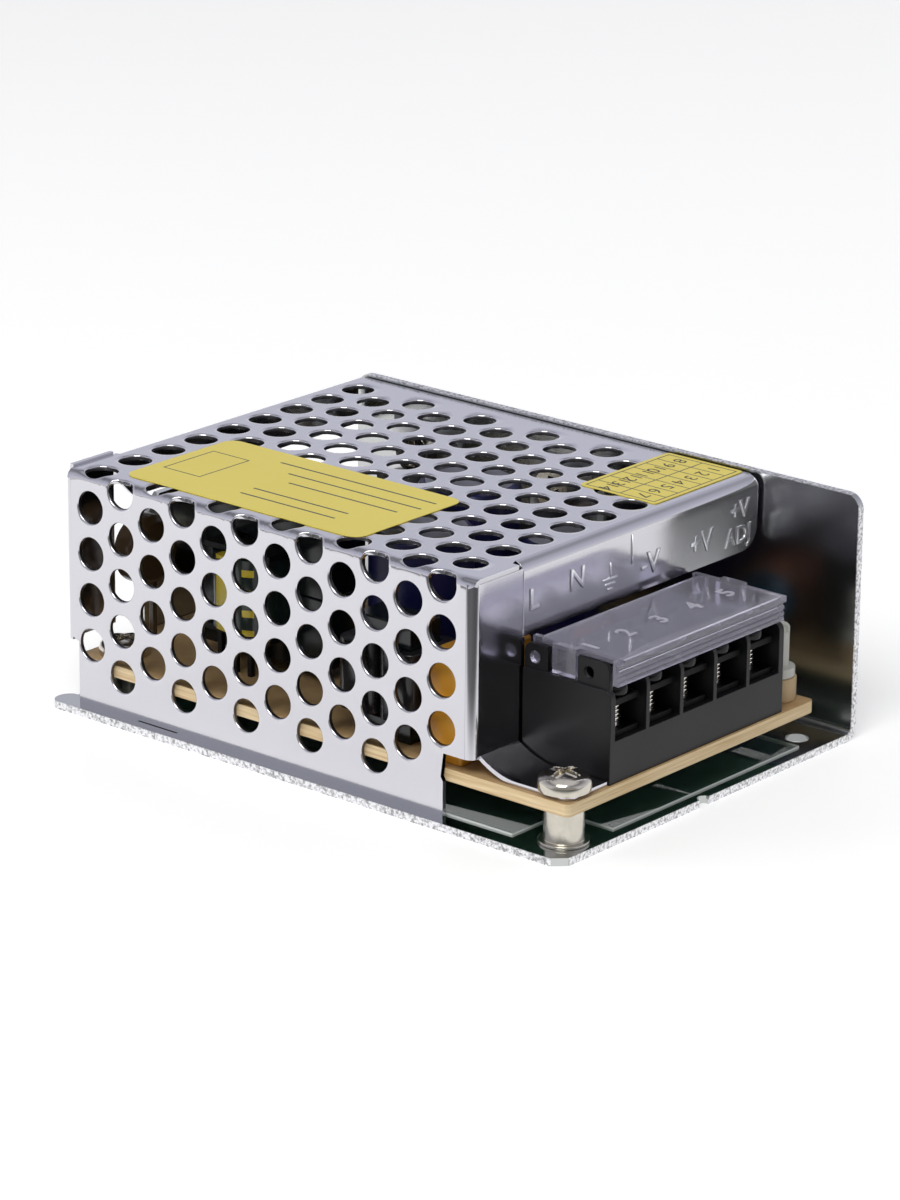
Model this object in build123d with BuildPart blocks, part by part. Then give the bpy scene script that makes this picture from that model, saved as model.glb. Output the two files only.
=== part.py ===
from build123d import *
import math
import os

os.makedirs("parts", exist_ok=True)

# Enclosed power supply in a folded metal case.
# X runs from the rear to the terminal end, Y from the perforated side to the plain wall, Z up.
# The origin is the centre of the footprint, on the underside of the bottom plate.

# Chassis: bottom plate, plain far wall and low rear wall, folded from one sheet
case_length = 83.0
case_depth = 58.0
case_height = 31.8
plate_t = 1.0
plate_bend = 1.8
wall_corner = 2.0
corner_cut = 1.7
mount_wall_gap = 5.8
mount_end_gap = 4.0
ear_length = 1.6
ear_width = 3.6
rear_wall_width = 30.0
rear_wall_shift = 0.8
rear_wall_drop = 7.3
rear_wall_cut = 3.0
relief_width = 1.2
edge_notch_r = 0.9
edge_notch_y = -1.8

# Cover: perforated side and top with flanges, lip, screw foot and hook, folded from one sheet
cover_t = 0.6
cover_drop = 0.4
side_setback = 1.7
terminal_bay = 14.9
top_bend = 1.1
corner_bend = 1.2
bend_share = 0.98
flange_width = 9.0
rear_flange_width = 8.3
rear_flange_rise = 0.3
fold_end_height = 9.1
front_tongue_gap = 4.5
rear_tongue_gap = 2.2
lip_height = 9.1
lip_bend = 1.4
lip_far_radius = 3.0
lip_near_radius = 1.0
rear_lip_gap = 0.5
rear_lip_setback = 0.6
rear_lip_cut = 3.0
sheet_gap = 0.3
foot_ramp = 5.5
foot_overlap = 2.4
foot_corner_r = 1.0
foot_fold_gap = 0.2
foot_drop = 0.4
fold_cut_spare = 0.1
seam = 0.05
hook_length = 6.3
hook_offset = 12.5
slot_clearance = 0.15

# Perforation: staggered rows that run on over the fold
hole_d = 4.2
hole_pitch = 6.0
hole_margin = 4.5
first_row_drop = 4.3
fold_take_up = 0.47
bottom_land = 2.0
far_land = 2.5

# Board and its supports
standoff_height = 4.4
standoff_d = 4.9
standoff_ring_d = 6.2
standoff_ring_t = 0.4
spigot_d = 4.0
board_t = 1.6
board_gap = 0.15
board_wall_gap = 6.55
board_inset = 1.0
board_corner_r = 0.8
screw_inset = 2.9
rear_screw_inset = 4.2
screw_d = 3.0
screw_length = 5.5
screw_clearance = 0.2
pan_head_d = 6.5
pan_head_h = 2.2
head_chamfer_share = 0.45
recess_width = 0.9
recess_length = 3.4
recess_depth = 1.1
film_t = 0.25
film_inset = 1.8
film_relief = 9.5
film_step = 1.0
film_edge = 0.4
film_rear_notch = 6.8
running_clearance = 0.05

# Terminal block
ways = 5
way_pitch = 6.5
partition_t = 0.7
end_wall_extra = 0.6
block_depth = 13.3
block_gap = 0.25
block_shift = 0.2
cell_floor = 5.3
body_height = 11.7
body_edge_r = 1.2
partition_height = 12.4
partition_edge_r = 1.8
back_wall = 2.8
back_wall_height = 12.0
ear_height = 14.9
ear_step = 0.3
ear_setback = 0.5
contact_t = 0.8
contact_side_gap = 0.4
contact_length = 8.0
contact_setback = 0.8
screw_setback = 3.4
screw_travel = 3.0
screw_bite = 1.0
tip_room = 4.5
clamp_t = 0.8
clamp_side_gap = 0.35
clamp_length = 5.2
clamp_rest = 0.15
terminal_head_d = 5.0
terminal_head_h = 1.8

# Flap over the terminals
flap_t = 0.8
flap_stand = 0.6
flap_side_gap = 0.2
skirt_drop = 3.0
skirt_t = 0.8
skirt_gap = 0.2
skirt_length = 31.9
skirt_shift = -0.9
skirt_edge_r = 0.7
bead_height = 0.45
bead_depth = 0.2
bead_shares = (0.42, 0.68, 0.9)
pivot_inset = 1.6
pivot_drop = 1.7
pivot_d = 1.5
arm_r = 1.0
arm_t = 0.8
lug_start = 2.6
lug_length = 3.5
lug_depth = 3.0
lug_front_gap = 0.3
lug_rear_gap = 0.65
lug_bottom_gap = 0.3
latch_hole_d = 1.5
latch_inset = 3.6

# Output trimmer
trimmer_d = 5.0
trimmer_base_h = 3.0
trimmer_setback = 3.7
trimmer_gap = 1.2
trimmer_flange_d = 4.6
trimmer_flange_h = 1.2
trimmer_shaft_d = 3.0
trimmer_shaft_h = 5.4
trimmer_pivot_d = 1.6
trimmer_slot_width = 0.6
trimmer_slot_depth = 1.0

# Labels on the top sheet
label_t = 0.12
label_corner_r = 1.8
grid_label_corner_r = 0.6
long_label_length = 38.5
long_label_depth = 19.8
long_label_rear_gap = 7.55
long_label_near_gap = 2.8
grid_label_length = 11.9
grid_label_depth = 17.8
grid_label_front_gap = 2.4
grid_label_far_gap = 0.15

# Power devices clamped to the far wall
device_rear_gap = 12.4
device_pitch = 23.5
device_width = 10.0
device_height = 15.6
device_body_height = 9.2
device_t = 4.4
tab_t = 1.3
tab_hole_d = 3.8
tab_hole_drop = 2.8
pad_t = 0.3
pad_margin = 0.8
lead_pitch = 2.54
lead_width = 0.7
lead_t = 0.5
lead_edge = 1.2
device_head_d = 5.5
device_head_h = 2.0
wall_screw_end = 0.1

# Transformer
transformer_rear_gap = 20.75
transformer_near_gap = 15.55
core_length = 20.4
core_headroom = 3.3
core_depth = 8.0
core_leg = 4.6
core_yoke = 3.6
core_post = 4.0
core_lift = 1.5
bobbin_wall = 0.7
bobbin_gap = 0.15
bobbin_depth = 17.0
bobbin_flange_t = 0.8
winding_depth = 20.0
winding_side_gap = 0.25
winding_end_gap = 0.1
pin_d = 0.7
pin_pitch = 2.5
pin_count = 4
pin_inset = 1.2

# Board components: size, and place measured inward from the rear end of the board or the terminal block
# behind its front, and from the near or the far edge of the board
can_headroom = 2.3
bulk_can = dict(d=13.0, rear=41.25, near=18.05)
output_can = dict(d=13.0, rear=33.75, far=11.95)
filter_can = dict(d=10.0, h=16.0, front=19.65, far=8.95)
can_bead_z = 1.8
can_bead_width = 1.2
can_bead_depth = 0.35
can_edge = 0.5
box_capacitor = dict(length=5.8, depth=13.0, h=13.5, front=6.55, near=7.85)
box_edge_r = 0.5
snubber = dict(d=9.0, t=3.8, lift=8.0, pitch=2.5, rear=3.35, near=9.05)
disc_capacitor = dict(d=7.0, t=2.8, lift=1.5, pitch=5.0, front=5.35, far=2.45)
inrush_disc = dict(d=8.0, t=3.2, lift=1.5, pitch=5.0, front=13.25, near=16.35)
disc_edge = 0.8
disc_lead_d = 0.7
fuse_size = dict(d=2.2, length=7.5, front=2.15, near=10.35)
fuse_cap_length = 1.5
fuse_cap_extra = 0.15
bridge = dict(length=8.6, depth=6.4, h=3.2, front=13.05, near=23.55, legs=2)
optocoupler = dict(length=4.6, depth=6.4, h=3.4, rear=22.25, far=9.45, legs=2)
controller = dict(length=9.6, depth=6.4, h=3.4, rear=8.75, far=13.45, legs=4)
leg_pitch = 2.54
leg_width = 0.6
leg_t = 0.3
chip_lift = 0.5
choke_front_gap = 17.35
choke_near_gap = 5.55
choke_length = 9.0
choke_height = 15.0
choke_leg = 2.6
choke_core_depth = 5.6
choke_coil_t = 1.5
choke_coil_gap = 0.1
choke_coil_h = 9.0
toroid_front_gap = 7.45
toroid_far_gap = 12.65
toroid_d = 10.0
toroid_hole = 5.0
toroid_h = 5.0
toroid_wound = 300.0
toroid_wire_d = 1.0
toroid_gap = 0.05

# Worked out from the sizes above
case_front = case_length / 2
case_rear = -case_length / 2
near_edge = -case_depth / 2
far_outer = case_depth / 2
far_inner = far_outer - plate_t
cover_rear = case_rear + ear_length
cover_front = case_front - terminal_bay
cover_top = case_height - cover_drop
near_side = near_edge + side_setback
near_inner = near_side + cover_t
bend_start = cover_top - top_bend
cover_under = cover_top - cover_t
rear_wall_height = case_height - rear_wall_drop
board_bottom = plate_t + standoff_height
board_top = board_bottom + board_t
board_near = near_inner + board_gap
board_far = far_inner - board_wall_gap
board_front = case_front - board_inset
board_rear = cover_rear + plate_t + board_gap
screw_x = board_front - screw_inset
screw_y = board_near + screw_inset
rear_screw_x = board_rear + rear_screw_inset
mount_y = far_inner - mount_wall_gap
mount_x = case_front - mount_end_gap
flange_end = near_side + flange_width
wall_near = rear_wall_shift - rear_wall_width / 2
clear_r = screw_d / 2 + screw_clearance
rear_screws = [(rear_screw_x, board_near + rear_screw_inset), (rear_screw_x, board_far - rear_screw_inset)]
board_screws = [(screw_x, screw_y)] + rear_screws
plate_mounts = [(mount_x, mount_y), (-mount_x, mount_y)]

rear_flange_end = near_side + rear_flange_width
tongue_front = cover_front - front_tongue_gap
tongue_rear = cover_rear + rear_tongue_gap
hook_x = cover_rear + hook_offset + hook_length / 2
top_rear = cover_rear + cover_t + seam
top_far = far_inner - sheet_gap
lip_bottom = cover_top - lip_height
lip_far = top_far - sheet_gap
rear_lip_bottom = rear_wall_height + rear_lip_gap
rear_lip_near = rear_flange_end + rear_lip_setback
foot_near = near_side + corner_bend + foot_fold_gap
foot_front = screw_x + foot_overlap
foot_ramp_top = fold_end_height - foot_drop
foot_ramp_end = cover_front + foot_ramp
fold_cut = top_bend + fold_cut_spare
film_notch_x = board_front - film_relief + film_step
film_notch_y = board_near + film_relief
film_front = case_front - film_inset
film_rear = cover_rear + plate_bend + film_edge
film_near = near_inner + film_edge
film_far = board_far - film_inset
column_pitch = hole_pitch * math.sin(math.radians(60))
column_count = int((cover_front - cover_rear - 2 * hole_margin) / column_pitch) + 1
fold_row = hole_pitch + fold_take_up - first_row_drop


def hole_rows(start, limit):
    """Distances from the fold to the rows of one column, a pitch apart, up to the limit."""
    count = max(0, int((limit - start) / hole_pitch) + 1)
    return [start + hole_pitch * k for k in range(count)]


side_holes = []
top_holes = []
for column in range(column_count):
    x = cover_rear + hole_margin + column * column_pitch
    stagger = 0.0 if column % 2 == 0 else hole_pitch / 2
    past_tongue = x + hole_d / 2 > tongue_front or x - hole_d / 2 < tongue_rear
    lowest = fold_end_height if past_tongue else plate_t + bottom_land
    first_drop = first_row_drop + stagger - (hole_pitch if stagger else 0.0)
    side_holes += [(x, cover_top - drop) for drop in hole_rows(first_drop, cover_top - lowest - hole_d / 2)]
    top_depth = top_far - far_land - hole_d / 2 - near_side
    top_holes += [(x, near_side + run) for run in hole_rows(fold_row + stagger, top_depth)]

# Terminal block, contacts, flap and trimmer
block_rear = cover_front + block_gap
block_front = block_rear + block_depth
block_near = flange_end - block_shift
foot_end = block_near - block_gap
block_width = ways * way_pitch + 2 * end_wall_extra
block_far = block_near + block_width
block_mid = (block_near + block_far) / 2
end_wall = end_wall_extra + partition_t / 2
cell_width = way_pitch - partition_t
floor_z = board_top + cell_floor
ear_top_z = board_top + ear_height
way_y = [block_mid + (i - (ways - 1) / 2) * way_pitch for i in range(ways)]
terminal_x = block_front - screw_setback
contact_top = floor_z + contact_t
clamp_z = contact_top + screw_travel + clamp_rest
head_z = clamp_z + clamp_t + running_clearance
tip_z = floor_z - screw_bite
shaft_r = screw_d / 2 - running_clearance
flap_top = ear_top_z + flap_stand
flap_under = flap_top - flap_t
pivot_x = block_rear + pivot_inset
pivot_z = ear_top_z - pivot_drop
flap_near = block_near + end_wall + flap_side_gap
flap_far = block_far - end_wall - flap_side_gap
lug_mid_x = pivot_x + lug_start + lug_length / 2
lug_bottom = ear_top_z - lug_depth
skirt_face = block_front + skirt_gap + skirt_t
skirt_near = block_mid + skirt_shift - skirt_length / 2
trimmer_top = board_top + trimmer_base_h + running_clearance + trimmer_flange_h + trimmer_shaft_h
ear_inner_faces = [(block_near + end_wall, -1), (block_far - end_wall, 1)]
ear_t = end_wall - ear_step
trimmer_x = block_front - trimmer_setback
trimmer_y = block_far + trimmer_gap + trimmer_d / 2
trimmer_seat = board_top + trimmer_base_h

# Power devices on the far wall
device_x = [cover_rear + device_rear_gap, cover_rear + device_rear_gap + device_pitch]
device_face = far_inner - pad_t
device_base = (board_top + cover_under - device_height) / 2
device_top = device_base + device_height
device_screw_z = device_top - tab_hole_drop
lead_y = device_face - device_t / 2
lead_foot_y = board_far - lead_edge
lead_run_z = (board_top + device_base) / 2

# Transformer
transformer_x = board_rear + transformer_rear_gap
transformer_y = board_near + transformer_near_gap
core_base = board_top + core_lift
core_top = cover_under - core_headroom
core_mid = (core_base + core_top) / 2
window_length = core_length - 2 * core_leg
window_base = core_base + core_yoke
window_top = core_top - core_yoke

# Choke and output inductor
choke_x = block_rear - choke_front_gap
choke_y = board_near + choke_near_gap
toroid_x = block_rear - toroid_front_gap
toroid_y = board_far - toroid_far_gap


def placed(size):
    """The size of a component with its place (x, y) in the frame instead of its distances from the edges."""
    spot = {key: value for key, value in size.items() if key not in ("rear", "front", "near", "far")}
    spot["x"] = board_rear + size["rear"] if "rear" in size else block_rear - size["front"]
    spot["y"] = board_near + size["near"] if "near" in size else board_far - size["far"]
    return spot


def corner(sketch, u, v):
    """The vertex of a sketch that lies nearest to the sketch's own point (u, v)."""
    return sketch.vertices().sort_by_distance((u, v, 0))[:1]


# Bottom plate, far wall and rear wall
with BuildPart() as chassis:
    with BuildSketch(Plane.YZ.offset(cover_rear)) as angle_section:
        with BuildLine():
            Polyline((near_edge, 0), (far_outer, 0), (far_outer, case_height), (far_inner, case_height),
                     (far_inner, plate_t), (near_edge, plate_t), close=True)
        make_face()
        fillet(corner(angle_section, far_inner, plate_t), plate_bend - plate_t)
        fillet(corner(angle_section, far_outer, 0), plate_bend)
    extrude(amount=case_front - cover_rear)
    # the strip of plate that folds up into the rear wall, with a relief slot at each end
    fold_strip = plate_bend + fold_cut_spare
    with BuildSketch(Plane.XY):
        with Locations((cover_rear + fold_strip / 2, rear_wall_shift)):
            Rectangle(fold_strip, rear_wall_width + 2 * relief_width)
    extrude(amount=plate_t, mode=Mode.SUBTRACT)
    with BuildSketch(Plane.XZ.offset(-wall_near)) as wall_section:
        with BuildLine():
            Polyline((cover_rear, 0), (cover_rear + fold_strip, 0), (cover_rear + fold_strip, plate_t),
                     (cover_rear + plate_t, plate_t), (cover_rear + plate_t, rear_wall_height),
                     (cover_rear, rear_wall_height), close=True)
        make_face()
        fillet(corner(wall_section, cover_rear + plate_t, plate_t), plate_bend - plate_t)
        fillet(corner(wall_section, cover_rear, 0), plate_bend)
    extrude(amount=-rear_wall_width)
    wall_corners = chassis.edges().filter_by(Axis.X).filter_by_position(
        Axis.Z, rear_wall_height - 0.01, rear_wall_height + 0.01)
    chamfer(wall_corners, rear_wall_cut)
    # rounded ear at the near rear corner
    with BuildSketch(Plane.XY):
        with Locations((cover_rear, near_edge + ear_width / 2)):
            Ellipse(ear_length, ear_width / 2)
    extrude(amount=plate_t)
    fillet(chassis.edges().filter_by(Axis.Y).group_by(Axis.Z)[-1], wall_corner)
    plate_corner = chassis.edges().filter_by(Axis.Z).sort_by_distance((case_front, near_edge, 0))[:1]
    chamfer(plate_corner, corner_cut)
    # standoff seats, tapped mounting holes, the slot for the cover's hook and a notch in the front edge
    with BuildSketch(Plane.XY):
        with Locations(*board_screws):
            Circle(spigot_d / 2 + running_clearance)
        with Locations(*plate_mounts):
            Circle(screw_d / 2)
        with Locations((hook_x, near_side + cover_t / 2)):
            Rectangle(hook_length + 2 * slot_clearance, cover_t + 2 * slot_clearance)
        with Locations((case_front, edge_notch_y)):
            Circle(edge_notch_r)
    extrude(amount=plate_t, mode=Mode.SUBTRACT)
    # screw holes of the power devices
    with BuildSketch(Plane.XZ.offset(-far_inner)):
        with Locations(*[(x, device_screw_z) for x in device_x]):
            Circle(screw_d / 2)
    extrude(amount=-plate_t, mode=Mode.SUBTRACT)
chassis.part.label = "chassis"
export_step(chassis.part, "parts/chassis.step")

# Perforated cover
with BuildPart() as cover:
    # near side with its two inward flanges, an open channel in plan
    with BuildSketch(Plane.XY.offset(fold_end_height)) as channel:
        with BuildLine():
            Polyline((cover_rear, near_side), (cover_front, near_side), (cover_front, flange_end),
                     (cover_front - cover_t, flange_end), (cover_front - cover_t, near_inner),
                     (cover_rear + cover_t, near_inner), (cover_rear + cover_t, rear_flange_end),
                     (cover_rear, rear_flange_end), close=True)
        make_face()
        fillet(corner(channel, cover_front - cover_t, near_inner), corner_bend - cover_t)
        fillet(corner(channel, cover_rear + cover_t, near_inner), corner_bend - cover_t)
        fillet(corner(channel, cover_front, near_side), corner_bend)
        fillet(corner(channel, cover_rear, near_side), corner_bend)
    extrude(amount=bend_start - fold_end_height)
    # below the flanges the near side goes on as a flat tongue down to the plate
    with BuildSketch(Plane.XZ.offset(-near_side)):
        with BuildLine():
            Polyline((tongue_rear, plate_t), (tongue_front, plate_t), (tongue_front, fold_end_height),
                     (tongue_rear, fold_end_height), close=True)
        make_face()
        with Locations((hook_x, plate_t / 2 + 2 * seam)):
            Rectangle(hook_length, plate_t)
    extrude(amount=-cover_t)
    # the fold into the top sheet
    with BuildSketch(Plane.YZ.offset(top_rear)) as top_section:
        with BuildLine():
            Polyline((near_side, bend_start), (near_side, cover_top), (top_far, cover_top),
                     (top_far, cover_top - cover_t), (near_inner, cover_top - cover_t),
                     (near_inner, bend_start), close=True)
        make_face()
        fillet(corner(top_section, near_inner, cover_top - cover_t), (top_bend - cover_t) * bend_share)
        fillet(corner(top_section, near_side, cover_top), top_bend * bend_share)
    extrude(amount=cover_front - top_rear)
    # front lip, folded down from the top sheet beside the flange
    with BuildSketch(Plane.XY.offset(cover_top - cover_t)):
        with Locations((cover_front, (flange_end + top_far) / 2)):
            Rectangle(2 * lip_bend, top_far - flange_end)
    extrude(amount=cover_t, mode=Mode.SUBTRACT)
    with BuildSketch(Plane.XZ.offset(-flange_end - seam)) as lip_section:
        with BuildLine():
            Polyline((cover_front - lip_bend, cover_top), (cover_front, cover_top),
                     (cover_front, lip_bottom), (cover_front - cover_t, lip_bottom),
                     (cover_front - cover_t, cover_top - cover_t),
                     (cover_front - lip_bend, cover_top - cover_t), close=True)
        make_face()
        fillet(corner(lip_section, cover_front - cover_t, cover_top - cover_t),
               (lip_bend - cover_t) * bend_share)
        fillet(corner(lip_section, cover_front, cover_top), lip_bend * bend_share)
    extrude(amount=-(lip_far - flange_end - seam))
    lip_corners = cover.edges().filter_by(Axis.X).filter_by_position(
        Axis.Z, lip_bottom - 0.01, lip_bottom + 0.01).sort_by(Axis.Y)
    fillet(lip_corners[0], lip_near_radius)
    fillet(lip_corners[-1], lip_far_radius)
    # short rear lip over the chassis's rear wall
    with BuildSketch(Plane.XY.offset(cover_top - cover_t)):
        with Locations((cover_rear, (rear_lip_near + top_far) / 2)):
            Rectangle(2 * lip_bend, top_far - rear_lip_near)
    extrude(amount=cover_t, mode=Mode.SUBTRACT)
    with BuildSketch(Plane.XZ.offset(-rear_lip_near)) as rear_lip_section:
        with BuildLine():
            Polyline((cover_rear + lip_bend, cover_top), (cover_rear, cover_top),
                     (cover_rear, rear_lip_bottom), (cover_rear + cover_t, rear_lip_bottom),
                     (cover_rear + cover_t, cover_top - cover_t),
                     (cover_rear + lip_bend, cover_top - cover_t), close=True)
        make_face()
        fillet(corner(rear_lip_section, cover_rear + cover_t, cover_top - cover_t),
               (lip_bend - cover_t) * bend_share)
        fillet(corner(rear_lip_section, cover_rear, cover_top), lip_bend * bend_share)
    extrude(amount=-(lip_far - rear_lip_near))
    rear_lip_corners = cover.edges().filter_by(Axis.X).filter_by_position(
        Axis.Z, rear_lip_bottom - 0.01, rear_lip_bottom + 0.01).sort_by(Axis.Y)
    chamfer(rear_lip_corners[0], rear_lip_cut)
    fillet(rear_lip_corners[-1], lip_near_radius)
    # the rear flange stands a little above the top sheet
    with BuildSketch(Plane.XY.offset(bend_start)):
        with Locations((cover_rear + cover_t / 2, (near_side + corner_bend + rear_flange_end) / 2)):
            Rectangle(cover_t, rear_flange_end - near_side - corner_bend)
    extrude(amount=cover_top + rear_flange_rise - bend_start)
    # foot under the board screw: the front flange runs down a short ramp on to the board
    with BuildSketch(Plane.XZ.offset(-foot_near)):
        with BuildLine():
            Polyline((cover_front - cover_t, fold_end_height), (cover_front, fold_end_height),
                     (cover_front + cover_t, foot_ramp_top), (foot_ramp_end, board_top + cover_t),
                     (foot_front, board_top + cover_t), (foot_front, board_top),
                     (foot_ramp_end, board_top), (cover_front - cover_t, foot_ramp_top - cover_t / 2),
                     close=True)
        make_face()
    extrude(amount=-(foot_end - foot_near))
    foot_tip = cover.edges().filter_by(Axis.Z).sort_by_distance((foot_front, foot_near, board_top))[:1]
    fillet(foot_tip, foot_corner_r)
    with BuildSketch(Plane.XY.offset(board_top)):
        with Locations((screw_x, screw_y)):
            Circle(clear_r)
    extrude(amount=cover_t, mode=Mode.SUBTRACT)
    # holes of the near side; the row nearest the fold is cut through the bend
    with BuildSketch(Plane.XZ.offset(-near_side)):
        with Locations(*side_holes):
            Circle(hole_d / 2)
    extrude(amount=-fold_cut, mode=Mode.SUBTRACT)
    # holes of the top; the first row reaches into the bend
    with BuildSketch(Plane.XY.offset(cover_top)):
        with Locations(*top_holes):
            Circle(hole_d / 2)
    extrude(amount=-fold_cut, mode=Mode.SUBTRACT)
cover.part.label = "cover"
export_step(cover.part, "parts/cover.step")

# Insulating film that lies on the plate under the board
with BuildPart() as film:
    with BuildSketch(Plane.XY.offset(plate_t)):
        with BuildLine():
            Polyline((film_rear, film_near), (film_notch_x, film_near), (film_notch_x, film_notch_y),
                     (film_front, film_notch_y), (film_front, film_far), (film_rear, film_far), close=True)
        make_face()
        with Locations(*[(film_rear, y) for x, y in rear_screws]):
            Rectangle(2 * (rear_screw_x - film_rear) + film_rear_notch, film_rear_notch, mode=Mode.SUBTRACT)
    extrude(amount=film_t)
film.part.label = "insulation_film"
export_step(film.part, "parts/insulation_film.step")

# Standoffs riveted into the plate
with BuildPart() as standoffs:
    for x, y in board_screws:
        with BuildSketch(Plane.XY.offset(plate_t)):
            with Locations((x, y)):
                Circle(standoff_ring_d / 2)
        extrude(amount=standoff_ring_t)
        with BuildSketch(Plane.XY.offset(plate_t)):
            with Locations((x, y)):
                Circle(standoff_d / 2)
        extrude(amount=standoff_height)
        with BuildSketch(Plane.XY.offset(running_clearance)):
            with Locations((x, y)):
                Circle(spigot_d / 2)
        extrude(amount=plate_t - running_clearance)
        with BuildSketch(Plane.XY):
            with Locations((x, y)):
                Circle(screw_d / 2)
        extrude(amount=board_bottom, mode=Mode.SUBTRACT)
standoffs.part.label = "standoffs"
export_step(standoffs.part, "parts/standoffs.step")

# Circuit board
with BuildPart() as board:
    with BuildSketch(Plane.XY.offset(board_bottom)) as board_outline:
        with Locations(((board_rear + board_front) / 2, (board_near + board_far) / 2)):
            Rectangle(board_front - board_rear, board_far - board_near)
        fillet(board_outline.vertices(), board_corner_r)
        with Locations(*board_screws):
            Circle(clear_r, mode=Mode.SUBTRACT)
    extrude(amount=board_t)
board.part.label = "circuit_board"
export_step(board.part, "parts/circuit_board.step")


def pan_screw(x, y, seat):
    """A pan head machine screw with a cross recess, standing in z on the height of its seat."""
    with BuildPart() as screw:
        with BuildSketch(Plane.XY.offset(seat)):
            with Locations((x, y)):
                Circle(pan_head_d / 2)
        extrude(amount=pan_head_h)
        chamfer(screw.edges().group_by(Axis.Z)[-1], pan_head_h * head_chamfer_share)
        with BuildSketch(Plane.XY.offset(seat + pan_head_h - recess_depth)):
            with Locations((x, y)):
                Rectangle(recess_length, recess_width)
                Rectangle(recess_width, recess_length)
        extrude(amount=recess_depth, mode=Mode.SUBTRACT)
        with BuildSketch(Plane.XY.offset(seat - screw_length)):
            with Locations((x, y)):
                Circle(shaft_r)
        extrude(amount=screw_length)
    return screw.part


# Board screws: the front one also holds down the cover's foot
with BuildPart() as screws:
    add(pan_screw(screw_x, screw_y, board_top + cover_t))
    for x, y in rear_screws:
        add(pan_screw(x, y, board_top))
screws.part.label = "board_screws"
export_step(screws.part, "parts/board_screws.step")

# Terminal block moulding: end walls with ears, cells open to the front and the top
with BuildPart() as block:
    with BuildSketch(Plane.XZ.offset(-block_near)) as body_profile:
        with Locations((block_rear + block_depth / 2, board_top + body_height / 2)):
            Rectangle(block_depth, body_height)
        fillet(corner(body_profile, block_front, board_top + body_height), body_edge_r)
    extrude(amount=-block_width)
    with BuildSketch(Plane.XZ.offset(-block_near - end_wall)) as partition_profile:
        with BuildLine():
            Polyline((block_rear, board_top), (block_front, board_top),
                     (block_front, board_top + partition_height),
                     (block_rear + back_wall, board_top + partition_height),
                     (block_rear + back_wall, board_top + back_wall_height),
                     (block_rear, board_top + back_wall_height), close=True)
        make_face()
        fillet(corner(partition_profile, block_front, board_top + partition_height), partition_edge_r)
    extrude(amount=-(block_width - 2 * end_wall))
    for inner_face, outward in ear_inner_faces:
        with BuildSketch(Plane.XZ.offset(-inner_face)) as ear_profile:
            with BuildLine():
                Polyline((block_rear, board_top), (block_front - ear_setback, board_top),
                         (block_front - ear_setback, ear_top_z), (block_rear, ear_top_z), close=True)
            make_face()
            fillet(corner(ear_profile, block_front - ear_setback, ear_top_z), body_edge_r)
            fillet(corner(ear_profile, block_rear, ear_top_z), body_edge_r)
            with Locations((pivot_x, pivot_z)):
                Circle(pivot_d / 2 + running_clearance, mode=Mode.SUBTRACT)
            with Locations((block_front - latch_inset, pivot_z)):
                Circle(latch_hole_d / 2, mode=Mode.SUBTRACT)
            with Locations((pivot_x + lug_start - lug_rear_gap, lug_bottom - lug_bottom_gap)):
                Rectangle(lug_length + lug_rear_gap + lug_front_gap, 2 * lug_depth,
                          align=(Align.MIN, Align.MIN), mode=Mode.SUBTRACT)
        extrude(amount=-outward * ear_t)
    # one cell for each way, with room below for the tip of its screw
    with BuildSketch(Plane.XY.offset(floor_z)):
        with Locations(*[((block_rear + back_wall + block_front) / 2, y) for y in way_y]):
            Rectangle(block_front - block_rear - back_wall, cell_width)
    extrude(amount=ear_height, mode=Mode.SUBTRACT)
    with BuildSketch(Plane.XY.offset(floor_z - tip_room)):
        with Locations(*[(terminal_x, y) for y in way_y]):
            Circle(clear_r)
    extrude(amount=tip_room, mode=Mode.SUBTRACT)
block.part.label = "terminal_block"
export_step(block.part, "parts/terminal_block.step")

# Contact plates on the cell floors
with BuildPart() as contacts:
    with BuildSketch(Plane.XY.offset(floor_z)):
        with Locations(*[(block_front - contact_setback - contact_length / 2, y) for y in way_y]):
            Rectangle(contact_length, cell_width - 2 * contact_side_gap)
        with Locations(*[(terminal_x, y) for y in way_y]):
            Circle(screw_d / 2, mode=Mode.SUBTRACT)
    extrude(amount=contact_t)
contacts.part.label = "terminal_contacts"
export_step(contacts.part, "parts/terminal_contacts.step")

# Wire clamps and terminal screws, one pair for each way, standing open
for way, y in enumerate(way_y, start=1):
    with BuildPart() as clamp:
        with BuildSketch(Plane.XY.offset(clamp_z)):
            with Locations((terminal_x, y)):
                Rectangle(clamp_length, cell_width - 2 * clamp_side_gap)
                Circle(screw_d / 2, mode=Mode.SUBTRACT)
        extrude(amount=clamp_t)
    clamp.part.label = f"terminal_clamp_{way}"
    export_step(clamp.part, f"parts/terminal_clamp_{way}.step")

    with BuildPart() as terminal_screw:
        with BuildSketch(Plane.XY.offset(head_z)):
            with Locations((terminal_x, y)):
                Circle(terminal_head_d / 2)
        extrude(amount=terminal_head_h)
        chamfer(terminal_screw.edges().group_by(Axis.Z)[-1], terminal_head_h * head_chamfer_share / 2)
        with BuildSketch(Plane.XY.offset(head_z + terminal_head_h - recess_depth)):
            with Locations((terminal_x, y)):
                Rectangle(recess_length, recess_width)
                Rectangle(recess_width, recess_length)
        extrude(amount=recess_depth, mode=Mode.SUBTRACT)
        with BuildSketch(Plane.XY.offset(tip_z)):
            with Locations((terminal_x, y)):
                Circle(shaft_r)
        extrude(amount=head_z - tip_z)
    terminal_screw.part.label = f"terminal_screw_{way}"
    export_step(terminal_screw.part, f"parts/terminal_screw_{way}.step")

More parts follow.
